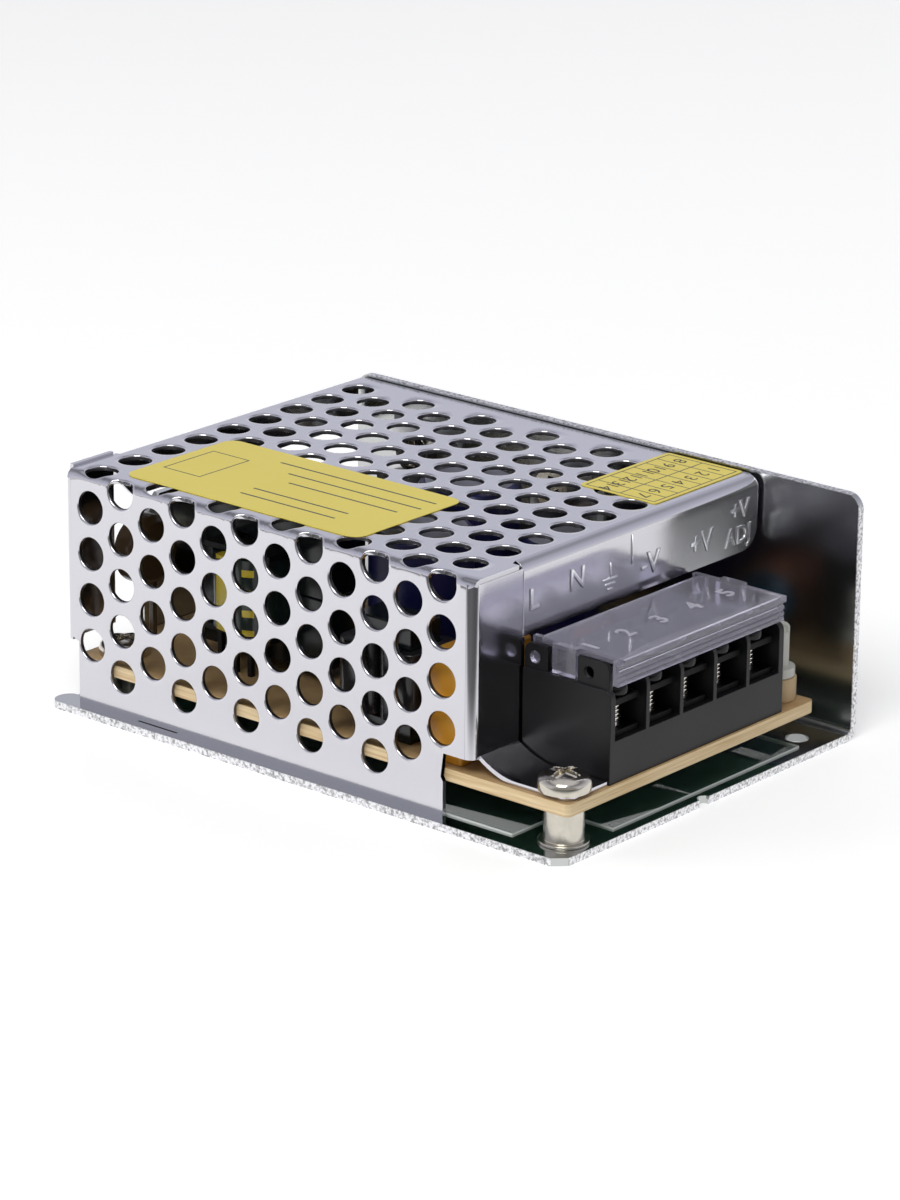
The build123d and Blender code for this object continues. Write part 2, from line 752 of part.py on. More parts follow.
# Clear flap that hinges in the ears of the block
with BuildPart() as flap:
    with BuildSketch(Plane.XY.offset(flap_under)):
        with Locations(((pivot_x + skirt_face) / 2, (flap_near + flap_far) / 2)):
            Rectangle(skirt_face - pivot_x, flap_far - flap_near)
    extrude(amount=flap_t)
    with BuildSketch(Plane.XZ.offset(-skirt_near)) as skirt_profile:
        with BuildLine():
            Polyline((skirt_face - skirt_t, flap_top), (skirt_face, flap_top),
                     (skirt_face, flap_top - skirt_drop), (skirt_face - skirt_t, flap_top - skirt_drop),
                     close=True)
        make_face()
        fillet(corner(skirt_profile, skirt_face, flap_top), skirt_edge_r)
        with Locations(*[(skirt_face, flap_top - skirt_drop * share) for share in bead_shares]):
            Rectangle(2 * bead_depth, bead_height)
    extrude(amount=-skirt_length)
    for inner_face, outward in ear_inner_faces:
        arm_face = inner_face - outward * flap_side_gap
        with BuildSketch(Plane.XZ.offset(-arm_face)):
            with Locations((pivot_x, pivot_z)):
                Circle(arm_r)
            with Locations((pivot_x, (pivot_z + flap_top) / 2)):
                Rectangle(2 * arm_r, flap_top - pivot_z)
        extrude(amount=outward * arm_t)
        with BuildSketch(Plane.XZ.offset(-arm_face)):
            with Locations((pivot_x, pivot_z)):
                Circle(pivot_d / 2)
        extrude(amount=-outward * (flap_side_gap + ear_t))
        with BuildSketch(Plane.XZ.offset(-arm_face)):
            with Locations((lug_mid_x, (lug_bottom + flap_top) / 2)):
                Rectangle(lug_length, flap_top - lug_bottom)
        extrude(amount=-outward * (flap_side_gap + ear_t))
        with BuildSketch(Plane.XZ.offset(-arm_face)):
            with Locations((lug_mid_x, (lug_bottom + flap_top) / 2)):
                Rectangle(lug_length, flap_top - lug_bottom)
        extrude(amount=outward * arm_t)
flap.part.label = "terminal_flap"
export_step(flap.part, "parts/terminal_flap.step")

# Output trimmer beside the block: base on the board, rotor on a pivot in it
with BuildPart() as trimmer_base:
    with BuildSketch(Plane.XY.offset(board_top)):
        with Locations((trimmer_x, trimmer_y)):
            Circle(trimmer_d / 2)
    extrude(amount=trimmer_base_h)
    with BuildSketch(Plane.XY.offset(trimmer_seat - trimmer_base_h / 2)):
        with Locations((trimmer_x, trimmer_y)):
            Circle(trimmer_pivot_d / 2 + running_clearance)
    extrude(amount=trimmer_base_h / 2, mode=Mode.SUBTRACT)
trimmer_base.part.label = "trimmer_base"
export_step(trimmer_base.part, "parts/trimmer_base.step")

with BuildPart() as trimmer_rotor:
    with BuildSketch(Plane.XY.offset(trimmer_seat + running_clearance)):
        with Locations((trimmer_x, trimmer_y)):
            Circle(trimmer_flange_d / 2)
    extrude(amount=trimmer_flange_h)
    with BuildSketch(Plane.XY.offset(trimmer_seat + running_clearance)):
        with Locations((trimmer_x, trimmer_y)):
            Circle(trimmer_shaft_d / 2)
    extrude(amount=trimmer_flange_h + trimmer_shaft_h)
    chamfer(trimmer_rotor.edges().group_by(Axis.Z)[-1], trimmer_shaft_d * 0.1)
    with BuildSketch(Plane.XY.offset(trimmer_top - trimmer_slot_depth)):
        with Locations((trimmer_x, trimmer_y)):
            Rectangle(trimmer_shaft_d, trimmer_slot_width)
    extrude(amount=trimmer_slot_depth, mode=Mode.SUBTRACT)
    with BuildSketch(Plane.XY.offset(trimmer_seat - trimmer_base_h / 2 + running_clearance)):
        with Locations((trimmer_x, trimmer_y)):
            Circle(trimmer_pivot_d / 2)
    extrude(amount=trimmer_base_h / 2)
trimmer_rotor.part.label = "trimmer_rotor"
export_step(trimmer_rotor.part, "parts/trimmer_rotor.step")


def on_board(x, y, height=0.0):
    """The board-parallel plane at a height over the board, centred on (x, y)."""
    return Plane.XY.offset(board_top + height).move(Location((x, y, 0)))


# Transformer: two E halves of core, bobbin with its pins, and the winding
with BuildPart() as core:
    for base, top, yoke_base in ((core_base, core_mid, core_base), (core_mid + seam, core_top, window_top)):
        with BuildSketch(Plane.XY.offset(base).move(Location((transformer_x, transformer_y, 0)))):
            Rectangle(core_length, core_depth)
            Rectangle(window_length, core_depth, mode=Mode.SUBTRACT)
            Rectangle(core_post, core_depth)
        extrude(amount=top - base)
        with BuildSketch(Plane.XY.offset(yoke_base).move(Location((transformer_x, transformer_y, 0)))):
            Rectangle(core_length, core_depth)
        extrude(amount=core_yoke)
core.part.label = "transformer_core"
export_step(core.part, "parts/transformer_core.step")

with BuildPart() as bobbin:
    tube = (core_post + 2 * (bobbin_gap + bobbin_wall), core_depth + 2 * (bobbin_gap + bobbin_wall))
    bobbin_plane = Plane.XY.offset(window_base + bobbin_gap).move(Location((transformer_x, transformer_y, 0)))
    bobbin_height = window_top - window_base - 2 * bobbin_gap
    with BuildSketch(bobbin_plane):
        Rectangle(*tube)
    extrude(amount=bobbin_height)
    with BuildSketch(bobbin_plane, bobbin_plane.offset(bobbin_height - bobbin_flange_t)):
        Rectangle(window_length - 2 * bobbin_gap, bobbin_depth)
    extrude(amount=bobbin_flange_t)
    with BuildSketch(bobbin_plane):
        Rectangle(core_post + 2 * bobbin_gap, core_depth + 2 * bobbin_gap)
    extrude(amount=bobbin_height, mode=Mode.SUBTRACT)
    with BuildSketch(on_board(transformer_x, transformer_y)):
        with GridLocations(pin_pitch, bobbin_depth - 2 * pin_inset, pin_count, 2):
            Rectangle(pin_d, pin_d)
    extrude(amount=window_base + 2 * bobbin_gap - board_top)
bobbin.part.label = "transformer_bobbin"
export_step(bobbin.part, "parts/transformer_bobbin.step")

with BuildPart() as winding:
    with BuildSketch(bobbin_plane.offset(bobbin_flange_t + winding_end_gap)):
        RectangleRounded(window_length - 2 * winding_side_gap, winding_depth,
                         (window_length - 2 * winding_side_gap) * 0.45)
        Rectangle(tube[0] + 2 * winding_end_gap, tube[1] + 2 * winding_end_gap, mode=Mode.SUBTRACT)
    extrude(amount=bobbin_height - 2 * (bobbin_flange_t + winding_end_gap))
winding.part.label = "transformer_winding"
export_step(winding.part, "parts/transformer_winding.step")


def can(d, h, x, y):
    """An electrolytic capacitor can standing on the board, with a pressed bead near its foot."""
    r = d / 2
    with BuildPart() as body:
        with BuildSketch(Plane.XZ.offset(-y)) as can_section:
            with BuildLine():
                Polyline((x, board_top), (x + r, board_top), (x + r, board_top + can_bead_z - can_bead_width / 2),
                         (x + r - can_bead_depth, board_top + can_bead_z),
                         (x + r, board_top + can_bead_z + can_bead_width / 2),
                         (x + r, board_top + h), (x, board_top + h), close=True)
            make_face()
            chamfer(corner(can_section, x + r, board_top + h), can_edge)
        revolve(axis=Axis((x, y, 0), (0, 0, 1)))
    return body.part


tall_can_h = cover_under - can_headroom - board_top
for name, size in (("bulk_capacitor", dict(bulk_can, h=tall_can_h)), ("output_capacitor", dict(output_can, h=tall_can_h)),
                   ("filter_capacitor", filter_can)):
    with BuildPart() as capacitor:
        add(can(**placed(size)))
    capacitor.part.label = name
    export_step(capacitor.part, f"parts/{name}.step")

# Moulded box capacitor across the input
box_size = placed(box_capacitor)
with BuildPart() as box_cap:
    with BuildSketch(on_board(box_size["x"], box_size["y"])):
        RectangleRounded(box_capacitor["length"], box_capacitor["depth"], box_edge_r)
    extrude(amount=box_capacitor["h"])
    chamfer(box_cap.edges().group_by(Axis.Z)[-1], box_edge_r)
box_cap.part.label = "box_capacitor"
export_step(box_cap.part, "parts/box_capacitor.step")


def lead_disc(d, t, lift, pitch, x, y, along):
    """A dipped disc standing on two wire leads, its axis along the given direction."""
    across = (1, 0) if along == Axis.Y else (0, 1)
    turned = Plane.XZ if along == Axis.Y else Plane.YZ
    disc_plane = Plane((x, y, board_top + lift + d / 2), x_dir=(across[0], across[1], 0), z_dir=turned.z_dir)
    with BuildPart() as disc:
        with BuildSketch(disc_plane.offset(-t / 2)):
            Circle(d / 2)
        extrude(amount=t)
        chamfer(disc.edges().filter_by(GeomType.CIRCLE), disc_edge)
        with BuildSketch(on_board(x, y)):
            with Locations(*[(across[0] * s, across[1] * s) for s in (-pitch / 2, pitch / 2)]):
                Rectangle(disc_lead_d, disc_lead_d)
        extrude(amount=lift + d / 2)
    return disc.part


for name, size, along in (("snubber_capacitor", snubber, Axis.X), ("disc_capacitor", disc_capacitor, Axis.Y),
                          ("inrush_limiter", inrush_disc, Axis.Y)):
    with BuildPart() as component:
        add(lead_disc(**placed(size), along=along))
    component.part.label = name
    export_step(component.part, f"parts/{name}.step")

# Input fuse lying along the front of the board on two end caps
fuse_spot = placed(fuse_size)
with BuildPart() as fuse:
    fuse_start = fuse_spot["y"] - fuse_size["length"] / 2
    fuse_z = fuse_size["d"] / 2 + fuse_cap_extra + leg_t
    with BuildSketch(Plane.XZ.offset(-fuse_start)):
        with Locations((fuse_spot["x"], board_top + fuse_z)):
            Circle(fuse_size["d"] / 2)
    extrude(amount=-fuse_size["length"])
    for cap_start in (fuse_start, fuse_start + fuse_size["length"] - fuse_cap_length):
        with BuildSketch(Plane.XZ.offset(-cap_start)):
            with Locations((fuse_spot["x"], board_top + fuse_z)):
                Circle(fuse_size["d"] / 2 + fuse_cap_extra)
        extrude(amount=-fuse_cap_length)
    with BuildSketch(on_board(fuse_spot["x"], fuse_spot["y"])):
        with GridLocations(1, fuse_size["length"] - fuse_cap_length, 1, 2):
            Rectangle(leg_width, fuse_cap_length)
    extrude(amount=fuse_z)
fuse.part.label = "input_fuse"
export_step(fuse.part, "parts/input_fuse.step")


def chip(length, depth, h, x, y, legs):
    """A moulded package on two rows of flat legs that stand on the board."""
    with BuildPart() as package:
        with BuildSketch(on_board(x, y, chip_lift)):
            Rectangle(length, depth)
        extrude(amount=h)
        with BuildSketch(on_board(x, y)):
            with GridLocations(leg_pitch, depth + leg_t, legs, 2):
                Rectangle(leg_width, leg_t)
        extrude(amount=chip_lift + h / 2)
    return package.part


for name, size in (("bridge_rectifier", bridge), ("optocoupler", optocoupler), ("control_chip", controller)):
    with BuildPart() as component:
        add(chip(**placed(size)))
    component.part.label = name
    export_step(component.part, f"parts/{name}.step")

# Mains choke: a closed frame standing on the board with one coil on each leg
with BuildPart() as choke_core:
    with BuildSketch(on_board(choke_x, choke_y)):
        Rectangle(choke_length, choke_core_depth)
    extrude(amount=choke_height)
    with BuildSketch(on_board(choke_x, choke_y, choke_leg)):
        Rectangle(choke_length - 2 * choke_leg, choke_core_depth)
    extrude(amount=choke_height - 2 * choke_leg, mode=Mode.SUBTRACT)
choke_core.part.label = "choke_core"
export_step(choke_core.part, "parts/choke_core.step")

with BuildPart() as choke_coils:
    coil_size = (choke_leg + 2 * (choke_coil_gap + choke_coil_t),
                 choke_core_depth + 2 * (choke_coil_gap + choke_coil_t))
    with BuildSketch(on_board(choke_x, choke_y, (choke_height - choke_coil_h) / 2)):
        with GridLocations(choke_length - choke_leg, 1, 2, 1):
            RectangleRounded(*coil_size, choke_coil_t)
            Rectangle(choke_leg + 2 * choke_coil_gap, choke_core_depth + 2 * choke_coil_gap, mode=Mode.SUBTRACT)
    extrude(amount=choke_coil_h)
choke_coils.part.label = "choke_coils"
export_step(choke_coils.part, "parts/choke_coils.step")

# Output inductor: a ring core lying on the lower run of its winding
toroid_z = board_top + toroid_wire_d + toroid_gap
with BuildPart() as ring:
    with BuildSketch(Plane.XY.offset(toroid_z)):
        with Locations((toroid_x, toroid_y)):
            Circle(toroid_d / 2)
            Circle(toroid_hole / 2, mode=Mode.SUBTRACT)
    extrude(amount=toroid_h)
ring.part.label = "inductor_core"
export_step(ring.part, "parts/inductor_core.step")

with BuildPart() as ring_winding:
    with BuildSketch(Plane.XZ.offset(-toroid_y)):
        with Locations((toroid_x + (toroid_d + toroid_hole) / 4, toroid_z + toroid_h / 2)):
            Rectangle((toroid_d - toroid_hole) / 2 + 2 * (toroid_wire_d + toroid_gap),
                      toroid_h + 2 * (toroid_wire_d + toroid_gap))
            Rectangle((toroid_d - toroid_hole) / 2 + 2 * toroid_gap, toroid_h + 2 * toroid_gap,
                      mode=Mode.SUBTRACT)
    revolve(axis=Axis((toroid_x, toroid_y, 0), (0, 0, 1)), revolution_arc=toroid_wound)
ring_winding.part.label = "inductor_winding"
export_step(ring_winding.part, "parts/inductor_winding.step")


def power_device(x):
    """A tabbed power device against the far wall, its three leads bent down to the board."""
    with BuildPart() as device:
        with BuildSketch(Plane.XZ.offset(-device_face + tab_t)):
            with Locations((x, (device_base + device_top) / 2)):
                Rectangle(device_width, device_height)
            with Locations((x, device_screw_z)):
                Circle(tab_hole_d / 2, mode=Mode.SUBTRACT)
        extrude(amount=-tab_t)
        with BuildSketch(Plane.XZ.offset(-device_face + device_t)):
            with Locations((x, device_base + device_body_height / 2)):
                Rectangle(device_width, device_body_height)
        extrude(amount=-device_t)
        for step in (-lead_pitch, 0, lead_pitch):
            with BuildSketch(Plane.YZ.offset(x + step - lead_width / 2)):
                with BuildLine():
                    Polyline((lead_y, device_base), (lead_y, lead_run_z), (lead_foot_y, lead_run_z),
                             (lead_foot_y, board_top), (lead_foot_y + lead_t, board_top),
                             (lead_foot_y + lead_t, lead_run_z - lead_t), (lead_y + lead_t, lead_run_z - lead_t),
                             (lead_y + lead_t, device_base), close=True)
                make_face()
            extrude(amount=lead_width)
    return device.part


for name, x in zip(("power_transistor", "output_rectifier"), device_x):
    with BuildPart() as device:
        add(power_device(x))
    device.part.label = name
    export_step(device.part, f"parts/{name}.step")

# Insulating pads between the tabs and the wall
with BuildPart() as pads:
    with BuildSketch(Plane.XZ.offset(-device_face)):
        for x in device_x:
            with Locations((x, (device_base + device_top) / 2)):
                Rectangle(device_width + 2 * pad_margin, device_height + 2 * pad_margin)
            with Locations((x, device_screw_z)):
                Circle(tab_hole_d / 2, mode=Mode.SUBTRACT)
    extrude(amount=-pad_t)
pads.part.label = "insulating_pads"
export_step(pads.part, "parts/insulating_pads.step")

# Screws that clamp the power devices to the wall
with BuildPart() as device_screws:
    for x in device_x:
        seat_plane = Plane.XZ.offset(-device_face + tab_t)
        with BuildSketch(seat_plane):
            with Locations((x, device_screw_z)):
                Circle(device_head_d / 2)
        extrude(amount=device_head_h)
        with BuildSketch(seat_plane.offset(device_head_h)):
            with Locations((x, device_screw_z)):
                Rectangle(recess_length, recess_width)
                Rectangle(recess_width, recess_length)
        extrude(amount=-recess_depth, mode=Mode.SUBTRACT)
        with BuildSketch(seat_plane):
            with Locations((x, device_screw_z)):
                Circle(shaft_r)
        extrude(amount=-(far_outer - wall_screw_end - device_face + tab_t))
device_screws.part.label = "device_screws"
export_step(device_screws.part, "parts/device_screws.step")

# Labels stuck on the top sheet
with BuildPart() as ruled_label:
    with BuildSketch(Plane.XY.offset(cover_top)):
        with Locations((cover_rear + long_label_rear_gap + long_label_length / 2,
                        near_side + long_label_near_gap + long_label_depth / 2)):
            RectangleRounded(long_label_length, long_label_depth, label_corner_r)
    extrude(amount=label_t)
ruled_label.part.label = "ruled_label"
export_step(ruled_label.part, "parts/ruled_label.step")

with BuildPart() as number_label:
    with BuildSketch(Plane.XY.offset(cover_top)):
        with Locations((cover_front - grid_label_front_gap - grid_label_length / 2,
                        top_far - grid_label_far_gap - grid_label_depth / 2)):
            RectangleRounded(grid_label_length, grid_label_depth, grid_label_corner_r)
    extrude(amount=label_t)
number_label.part.label = "number_label"
export_step(number_label.part, "parts/number_label.step")
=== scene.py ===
import bmesh
import bpy
import math
import numpy as np
from mathutils import Matrix, Vector


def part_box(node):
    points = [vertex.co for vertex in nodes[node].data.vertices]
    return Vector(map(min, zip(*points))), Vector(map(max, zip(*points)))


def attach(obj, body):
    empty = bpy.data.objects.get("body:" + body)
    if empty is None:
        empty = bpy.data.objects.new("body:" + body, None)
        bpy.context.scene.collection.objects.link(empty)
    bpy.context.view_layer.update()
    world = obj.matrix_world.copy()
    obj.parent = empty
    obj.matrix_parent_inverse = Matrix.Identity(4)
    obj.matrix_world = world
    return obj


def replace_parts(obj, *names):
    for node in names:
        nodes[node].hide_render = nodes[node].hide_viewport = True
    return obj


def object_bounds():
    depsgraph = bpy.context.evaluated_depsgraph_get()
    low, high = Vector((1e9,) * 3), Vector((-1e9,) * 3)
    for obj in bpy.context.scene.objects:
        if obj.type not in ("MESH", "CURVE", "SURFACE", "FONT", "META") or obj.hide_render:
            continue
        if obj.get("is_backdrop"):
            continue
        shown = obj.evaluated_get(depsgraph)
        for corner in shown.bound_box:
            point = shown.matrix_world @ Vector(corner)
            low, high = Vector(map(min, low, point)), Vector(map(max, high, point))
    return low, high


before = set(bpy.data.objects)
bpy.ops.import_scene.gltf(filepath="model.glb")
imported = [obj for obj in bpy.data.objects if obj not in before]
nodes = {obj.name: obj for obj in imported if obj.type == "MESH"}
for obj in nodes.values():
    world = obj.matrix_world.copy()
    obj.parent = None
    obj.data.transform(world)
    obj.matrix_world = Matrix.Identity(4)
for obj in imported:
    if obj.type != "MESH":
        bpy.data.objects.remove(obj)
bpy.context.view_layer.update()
mm = 0.001
weld = 1e-6  # metres: points nearer than this are one
print("frame loaded,", len(nodes), "solids")


# shader helpers

def tone(red, green, blue):
    # a screen colour from 0 to 255, turned into the linear values that Blender works in
    shares = [channel / 255 for channel in (red, green, blue)]
    linear = [share / 12.92 if share <= 0.04 else ((share + 0.055) / 1.055) ** 2.4 for share in shares]
    return (*linear, 1.0)


def grey(value):
    return (value, value, value, 1.0)


class Wire:
    # a shader socket; sums on it add Math nodes to its material
    def __init__(self, paint, socket):
        self.paint, self.socket = paint, socket

    def calc(self, operation, *values):
        return self.paint.add("ShaderNodeMath", {"operation": operation}, dict(enumerate(values)))

    def __add__(self, other):
        return self.calc("ADD", self, other)

    def __sub__(self, other):
        return self.calc("SUBTRACT", self, other)

    def __rsub__(self, other):
        return self.calc("SUBTRACT", other, self)

    def __mul__(self, other):
        return self.calc("MULTIPLY", self, other)

    def __truediv__(self, other):
        return self.calc("DIVIDE", self, other)

    def __gt__(self, other):
        return self.calc("GREATER_THAN", self, other)

    def __lt__(self, other):
        return self.calc("LESS_THAN", self, other)

    def absolute(self):
        return self.calc("ABSOLUTE", self)

    def root(self):
        return self.calc("SQRT", self)

    def fraction(self):
        return self.calc("FRACT", self)

    def clamped(self):
        return self.paint.add("ShaderNodeClamp", {}, {0: self})

    __radd__, __rmul__ = __add__, __mul__


class Paint:
    # one material: its Principled shader and the nodes that feed it
    def __init__(self, name, surface, tree=None):
        if tree is None:
            self.material = bpy.data.materials.new(name)
            self.material.use_nodes = True
            tree = self.material.node_tree
            self.shader = tree.nodes["Principled BSDF"]
        self.tree = tree
        self.surface(surface)

    def add(self, kind, settings, values, output=0):
        node = self.tree.nodes.new(kind)
        for key, value in settings.items():
            if key == "stops":
                ramp = node.color_ramp
                while len(ramp.elements) < len(value):
                    ramp.elements.new(0.5)
                for element, (place, colour) in zip(ramp.elements, value):
                    element.position, element.color = place, colour
            else:
                setattr(node, key, value)
        for key, value in values.items():
            self.join(node.inputs[key], value)
        return Wire(self, node.outputs[output])

    def join(self, socket, value):
        if isinstance(value, Wire):
            self.tree.links.new(value.socket, socket)
        else:
            socket.default_value = value

    def surface(self, values):
        for key, value in values.items():
            self.join(self.shader.inputs[key], value)

    def place(self, stretch):
        # object coordinates, stretched
        spot = self.add("ShaderNodeTexCoord", {}, {}, "Object")
        return self.add("ShaderNodeMapping", {}, {"Vector": spot, "Scale": stretch})

    def axes(self):
        # object coordinates as three numbers, in millimetres
        spot = self.add("ShaderNodeTexCoord", {}, {}, "Object")
        parts = [self.add("ShaderNodeSeparateXYZ", {}, {0: spot}, i) for i in range(3)]
        return [part * (1 / mm) for part in parts]

    def facing(self):
        # the true surface direction as three numbers
        turn = self.add("ShaderNodeNewGeometry", {}, {}, "True Normal")
        return [self.add("ShaderNodeSeparateXYZ", {}, {0: turn}, i) for i in range(3)]

    def noise(self, scale, detail=3.0, rough=0.55, stretch=(1, 1, 1)):
        return self.add("ShaderNodeTexNoise", {},
                        {"Vector": self.place(stretch), "Scale": scale, "Detail": detail, "Roughness": rough})

    def mix(self, share, first, second):
        return self.add("ShaderNodeMix", {"data_type": "RGBA"}, {0: share, 6: first, 7: second}, 2)

    def ramp(self, share, stops):
        return self.add("ShaderNodeValToRGB", {"stops": stops}, {0: share})

    def bump(self, height, strength, distance):
        # distance in millimetres
        return self.add("ShaderNodeBump", {},
                        {"Height": height, "Strength": strength, "Distance": distance * mm})


# mesh helpers

def finishPiece(name, meshData, body, material, smooth=35.0):
    # shaded smooth, with sharp edges past an angle, and told its body
    piece = bpy.data.objects.new(name, meshData)
    bpy.context.scene.collection.objects.link(piece)
    meshData.materials.append(material)
    meshData.polygons.foreach_set("use_smooth", np.ones(len(meshData.polygons), bool))
    meshData.set_sharp_from_angle(angle=math.radians(smooth))
    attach(piece, body)
    return piece


def newPiece(name, points, faces, body, slotName, material, smooth=35.0, turn=True):
    # points in millimetres; equal points are merged and, with turn, faces are turned outward
    meshData = bpy.data.meshes.new(name)
    meshData.from_pydata((np.asarray(points).reshape(-1, 3) * mm).tolist(), [], np.asarray(faces).tolist())
    builder = bmesh.new()
    builder.from_mesh(meshData)
    bmesh.ops.remove_doubles(builder, verts=builder.verts, dist=weld)
    if turn:
        bmesh.ops.recalc_face_normals(builder, faces=builder.faces)
    builder.to_mesh(meshData)
    builder.free()
    return finishPiece(name, meshData, body, material, smooth)


dressing = dict(segments=2, edgeAngle=32.0, flatAngle=0.6)


def roundEdges(piece, width):
    edge = piece.modifiers.new("edge", "BEVEL")
    edge.width, edge.segments = width * mm, dressing["segments"]
    edge.limit_method, edge.angle_limit = "ANGLE", math.radians(dressing["edgeAngle"])
    edge.harden_normals = True
    return piece


def dress(node, body, material, width=0.0, smooth=32.0):
    # a copy of a CAD node with its triangles merged into whole faces, so that its edges can be rounded
    meshData = bpy.data.meshes.new(node + "_dressed")
    builder = bmesh.new()
    builder.from_mesh(nodes[node].data)
    bmesh.ops.remove_doubles(builder, verts=builder.verts, dist=weld)
    bmesh.ops.dissolve_limit(builder, angle_limit=math.radians(dressing["flatAngle"]),
                             use_dissolve_boundaries=False, verts=builder.verts, edges=builder.edges)
    builder.to_mesh(meshData)
    builder.free()
    piece = finishPiece(node + "_dressed", meshData, body, material, smooth)
    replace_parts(piece, node)
    return roundEdges(piece, width) if width else piece


def gridFaces(rows, columns, wrapRows=False, wrapColumns=False, start=0):
    # quads of a grid of points numbered row by row, closed round where asked
    r = np.arange(rows if wrapRows else rows - 1)[:, None]
    c = np.arange(columns if wrapColumns else columns - 1)[None, :]
    r2, c2 = (r + 1) % rows, (c + 1) % columns
    quads = np.stack([r * columns + c, r * columns + c2, r2 * columns + c2, r2 * columns + c], -1)
    return quads.reshape(-1, 4) + start


def slab(outer, inner):
    # a sheet with thickness: two grids of the same size, joined round their rim
    rows, columns = outer.shape[:2]
    count = rows * columns
    index = np.arange(count).reshape(rows, columns)
    rim = np.concatenate([index[0, :-1], index[:-1, -1], index[-1, :0:-1], index[:0:-1, 0]])
    after = np.roll(rim, -1)
    sides = np.stack([rim, after, after + count, rim + count], -1)
    faces = np.concatenate([gridFaces(rows, columns), gridFaces(rows, columns, start=count)[:, ::-1], sides])
    return np.concatenate([outer.reshape(-1, 3), inner.reshape(-1, 3)]), faces


def joined(*parts):
    # several (points, faces) pairs as one
    points, faces, start = [], [], 0
    for these, theirs in parts:
        points.append(np.asarray(these).reshape(-1, 3))
        faces.append(np.asarray(theirs) + start)
        start += len(points[-1])
    return np.concatenate(points), np.concatenate(faces)


# cover sizes, in millimetres

coverSize = dict(rear=-39.9, front=26.6, nearSide=-27.3, top=31.4, thickness=0.6, bend=1.1, cornerBend=1.2,
                 plate=1.0, tongueRear=-37.7, tongueFront=22.1, topRear=-39.25, topFar=27.7)
flangeSize = dict(foot=9.1, end=-18.3, rearEnd=-19.0, tuck=0.4, tuckGap=0.1, tuckStep=0.05, topGap=0.63)
lipSize = dict(bend=1.4, bottom=22.3, far=27.4, nearRadius=0.3, farRadius=3.0, seam=0.05,
               rearNear=-18.4, rearBottom=25.0, rearCut=3.0)
holeSize = dict(radius=2.1, pitch=6.0, rowAngle=60, margin=4.5, firstDrop=4.3, firstRun=2.17, columns=12,
                roll=0.14, bottomLand=3.0, farLand=2.5, rays=48)


# finishes

def sheetMetal(name, colour, rough, grain, streak, sheared=(), dullWall=None, punched=False):
    # rolled sheet: faint streaks along x and cloudy roughness; past the limits of the sheared edges, given as
    # (axis, millimetres), the surface is torn and speckled; beyond dullWall along y it is less glossy;
    # where it is punched, the walls of the holes are dull, and painted dark as shade
    paint = Paint(name, {"Metallic": 1.0})
    spot = paint.axes()
    edges = [farther(spot[axis], limit) for axis, limit in sheared]
    raw = sum(edges, 0.0).clamped() if edges else 0.0
    torn = paint.noise(2600.0, 3.0, 0.6)
    cloud = paint.noise(90.0, 3.0)
    lines = paint.noise(420.0, 4.0, 0.6, streak)
    fine = paint.noise(2600.0, 2.0)
    rolled = paint.mix(cloud * 0.5, colour, tuple(c * 0.93 for c in colour[:3]) + (1.0,))
    speckle = paint.ramp(torn, [(0.36, tone(150, 150, 150)), (0.56, tone(236, 236, 238))])
    smooth = rough + (cloud - 0.5) * 0.04 + (lines - 0.5) * 0.05
    if dullWall:
        smooth = smooth + farther(spot[1], dullWall) * 0.13
    if punched:
        walls = holeWalls(*spot)
        # painted shade: the walls of the holes are coloured darker, standing in for the shade inside them;
        # the extra roughness below is the real dull wall
        rolled = paint.mix(walls, rolled, tone(104, 103, 106))
        smooth = smooth + walls * 0.2
    paint.surface({
        "Base Color": paint.mix(raw, rolled, speckle),
        "Roughness": smooth + raw * 0.3,
        "Normal": paint.bump(lines * grain + fine * grain * 0.6 + torn * raw * 2.5, 1.0, 0.03)})
    return paint.material


wallMargins = dict(skin=0.02, bend=0.1, foot=1.0, rear=1.4, front=1.5)


def holeWalls(x, y, z):
    # 1 inside the thickness of the side sheet and of the top sheet, away from their bends: the hole walls,
    # which get painted shade and a duller finish
    c, m = coverSize, wallMargins
    outer, inner, bend = holeSize["roll"] + m["skin"], c["thickness"] - m["skin"], c["bend"] + m["bend"]
    inSide = (y > c["nearSide"] + outer) * (y < c["nearSide"] + inner) * (z < c["top"] - bend)
    inTop = (z < c["top"] - outer) * (z > c["top"] - inner) * (y > c["nearSide"] + bend)
    walls = inSide * (z > c["plate"] + m["foot"]) + inTop
    return walls * (x > c["rear"] + m["rear"]) * (x < c["front"] - m["front"])


def farther(value, limit):
    # 1 where the value lies beyond the limit, on the limit's own side of zero
    return value > limit if limit > 0 else value < limit


shearedEdges = [(0, 41.38), (0, -41.38), (1, -28.88), (2, 31.68)]
coverMetal = sheetMetal("coverMetal", tone(205, 204, 209), 0.15, 0.04, (0.15, 1, 1), punched=True)
plateMetal = sheetMetal("plateMetal", tone(190, 192, 191), 0.09, 0.05, (0.08, 1, 1), shearedEdges, 27.6)
markMetal = sheetMetal("markMetal", tone(238, 238, 242), 0.26, 0.04, (0.15, 1, 1))


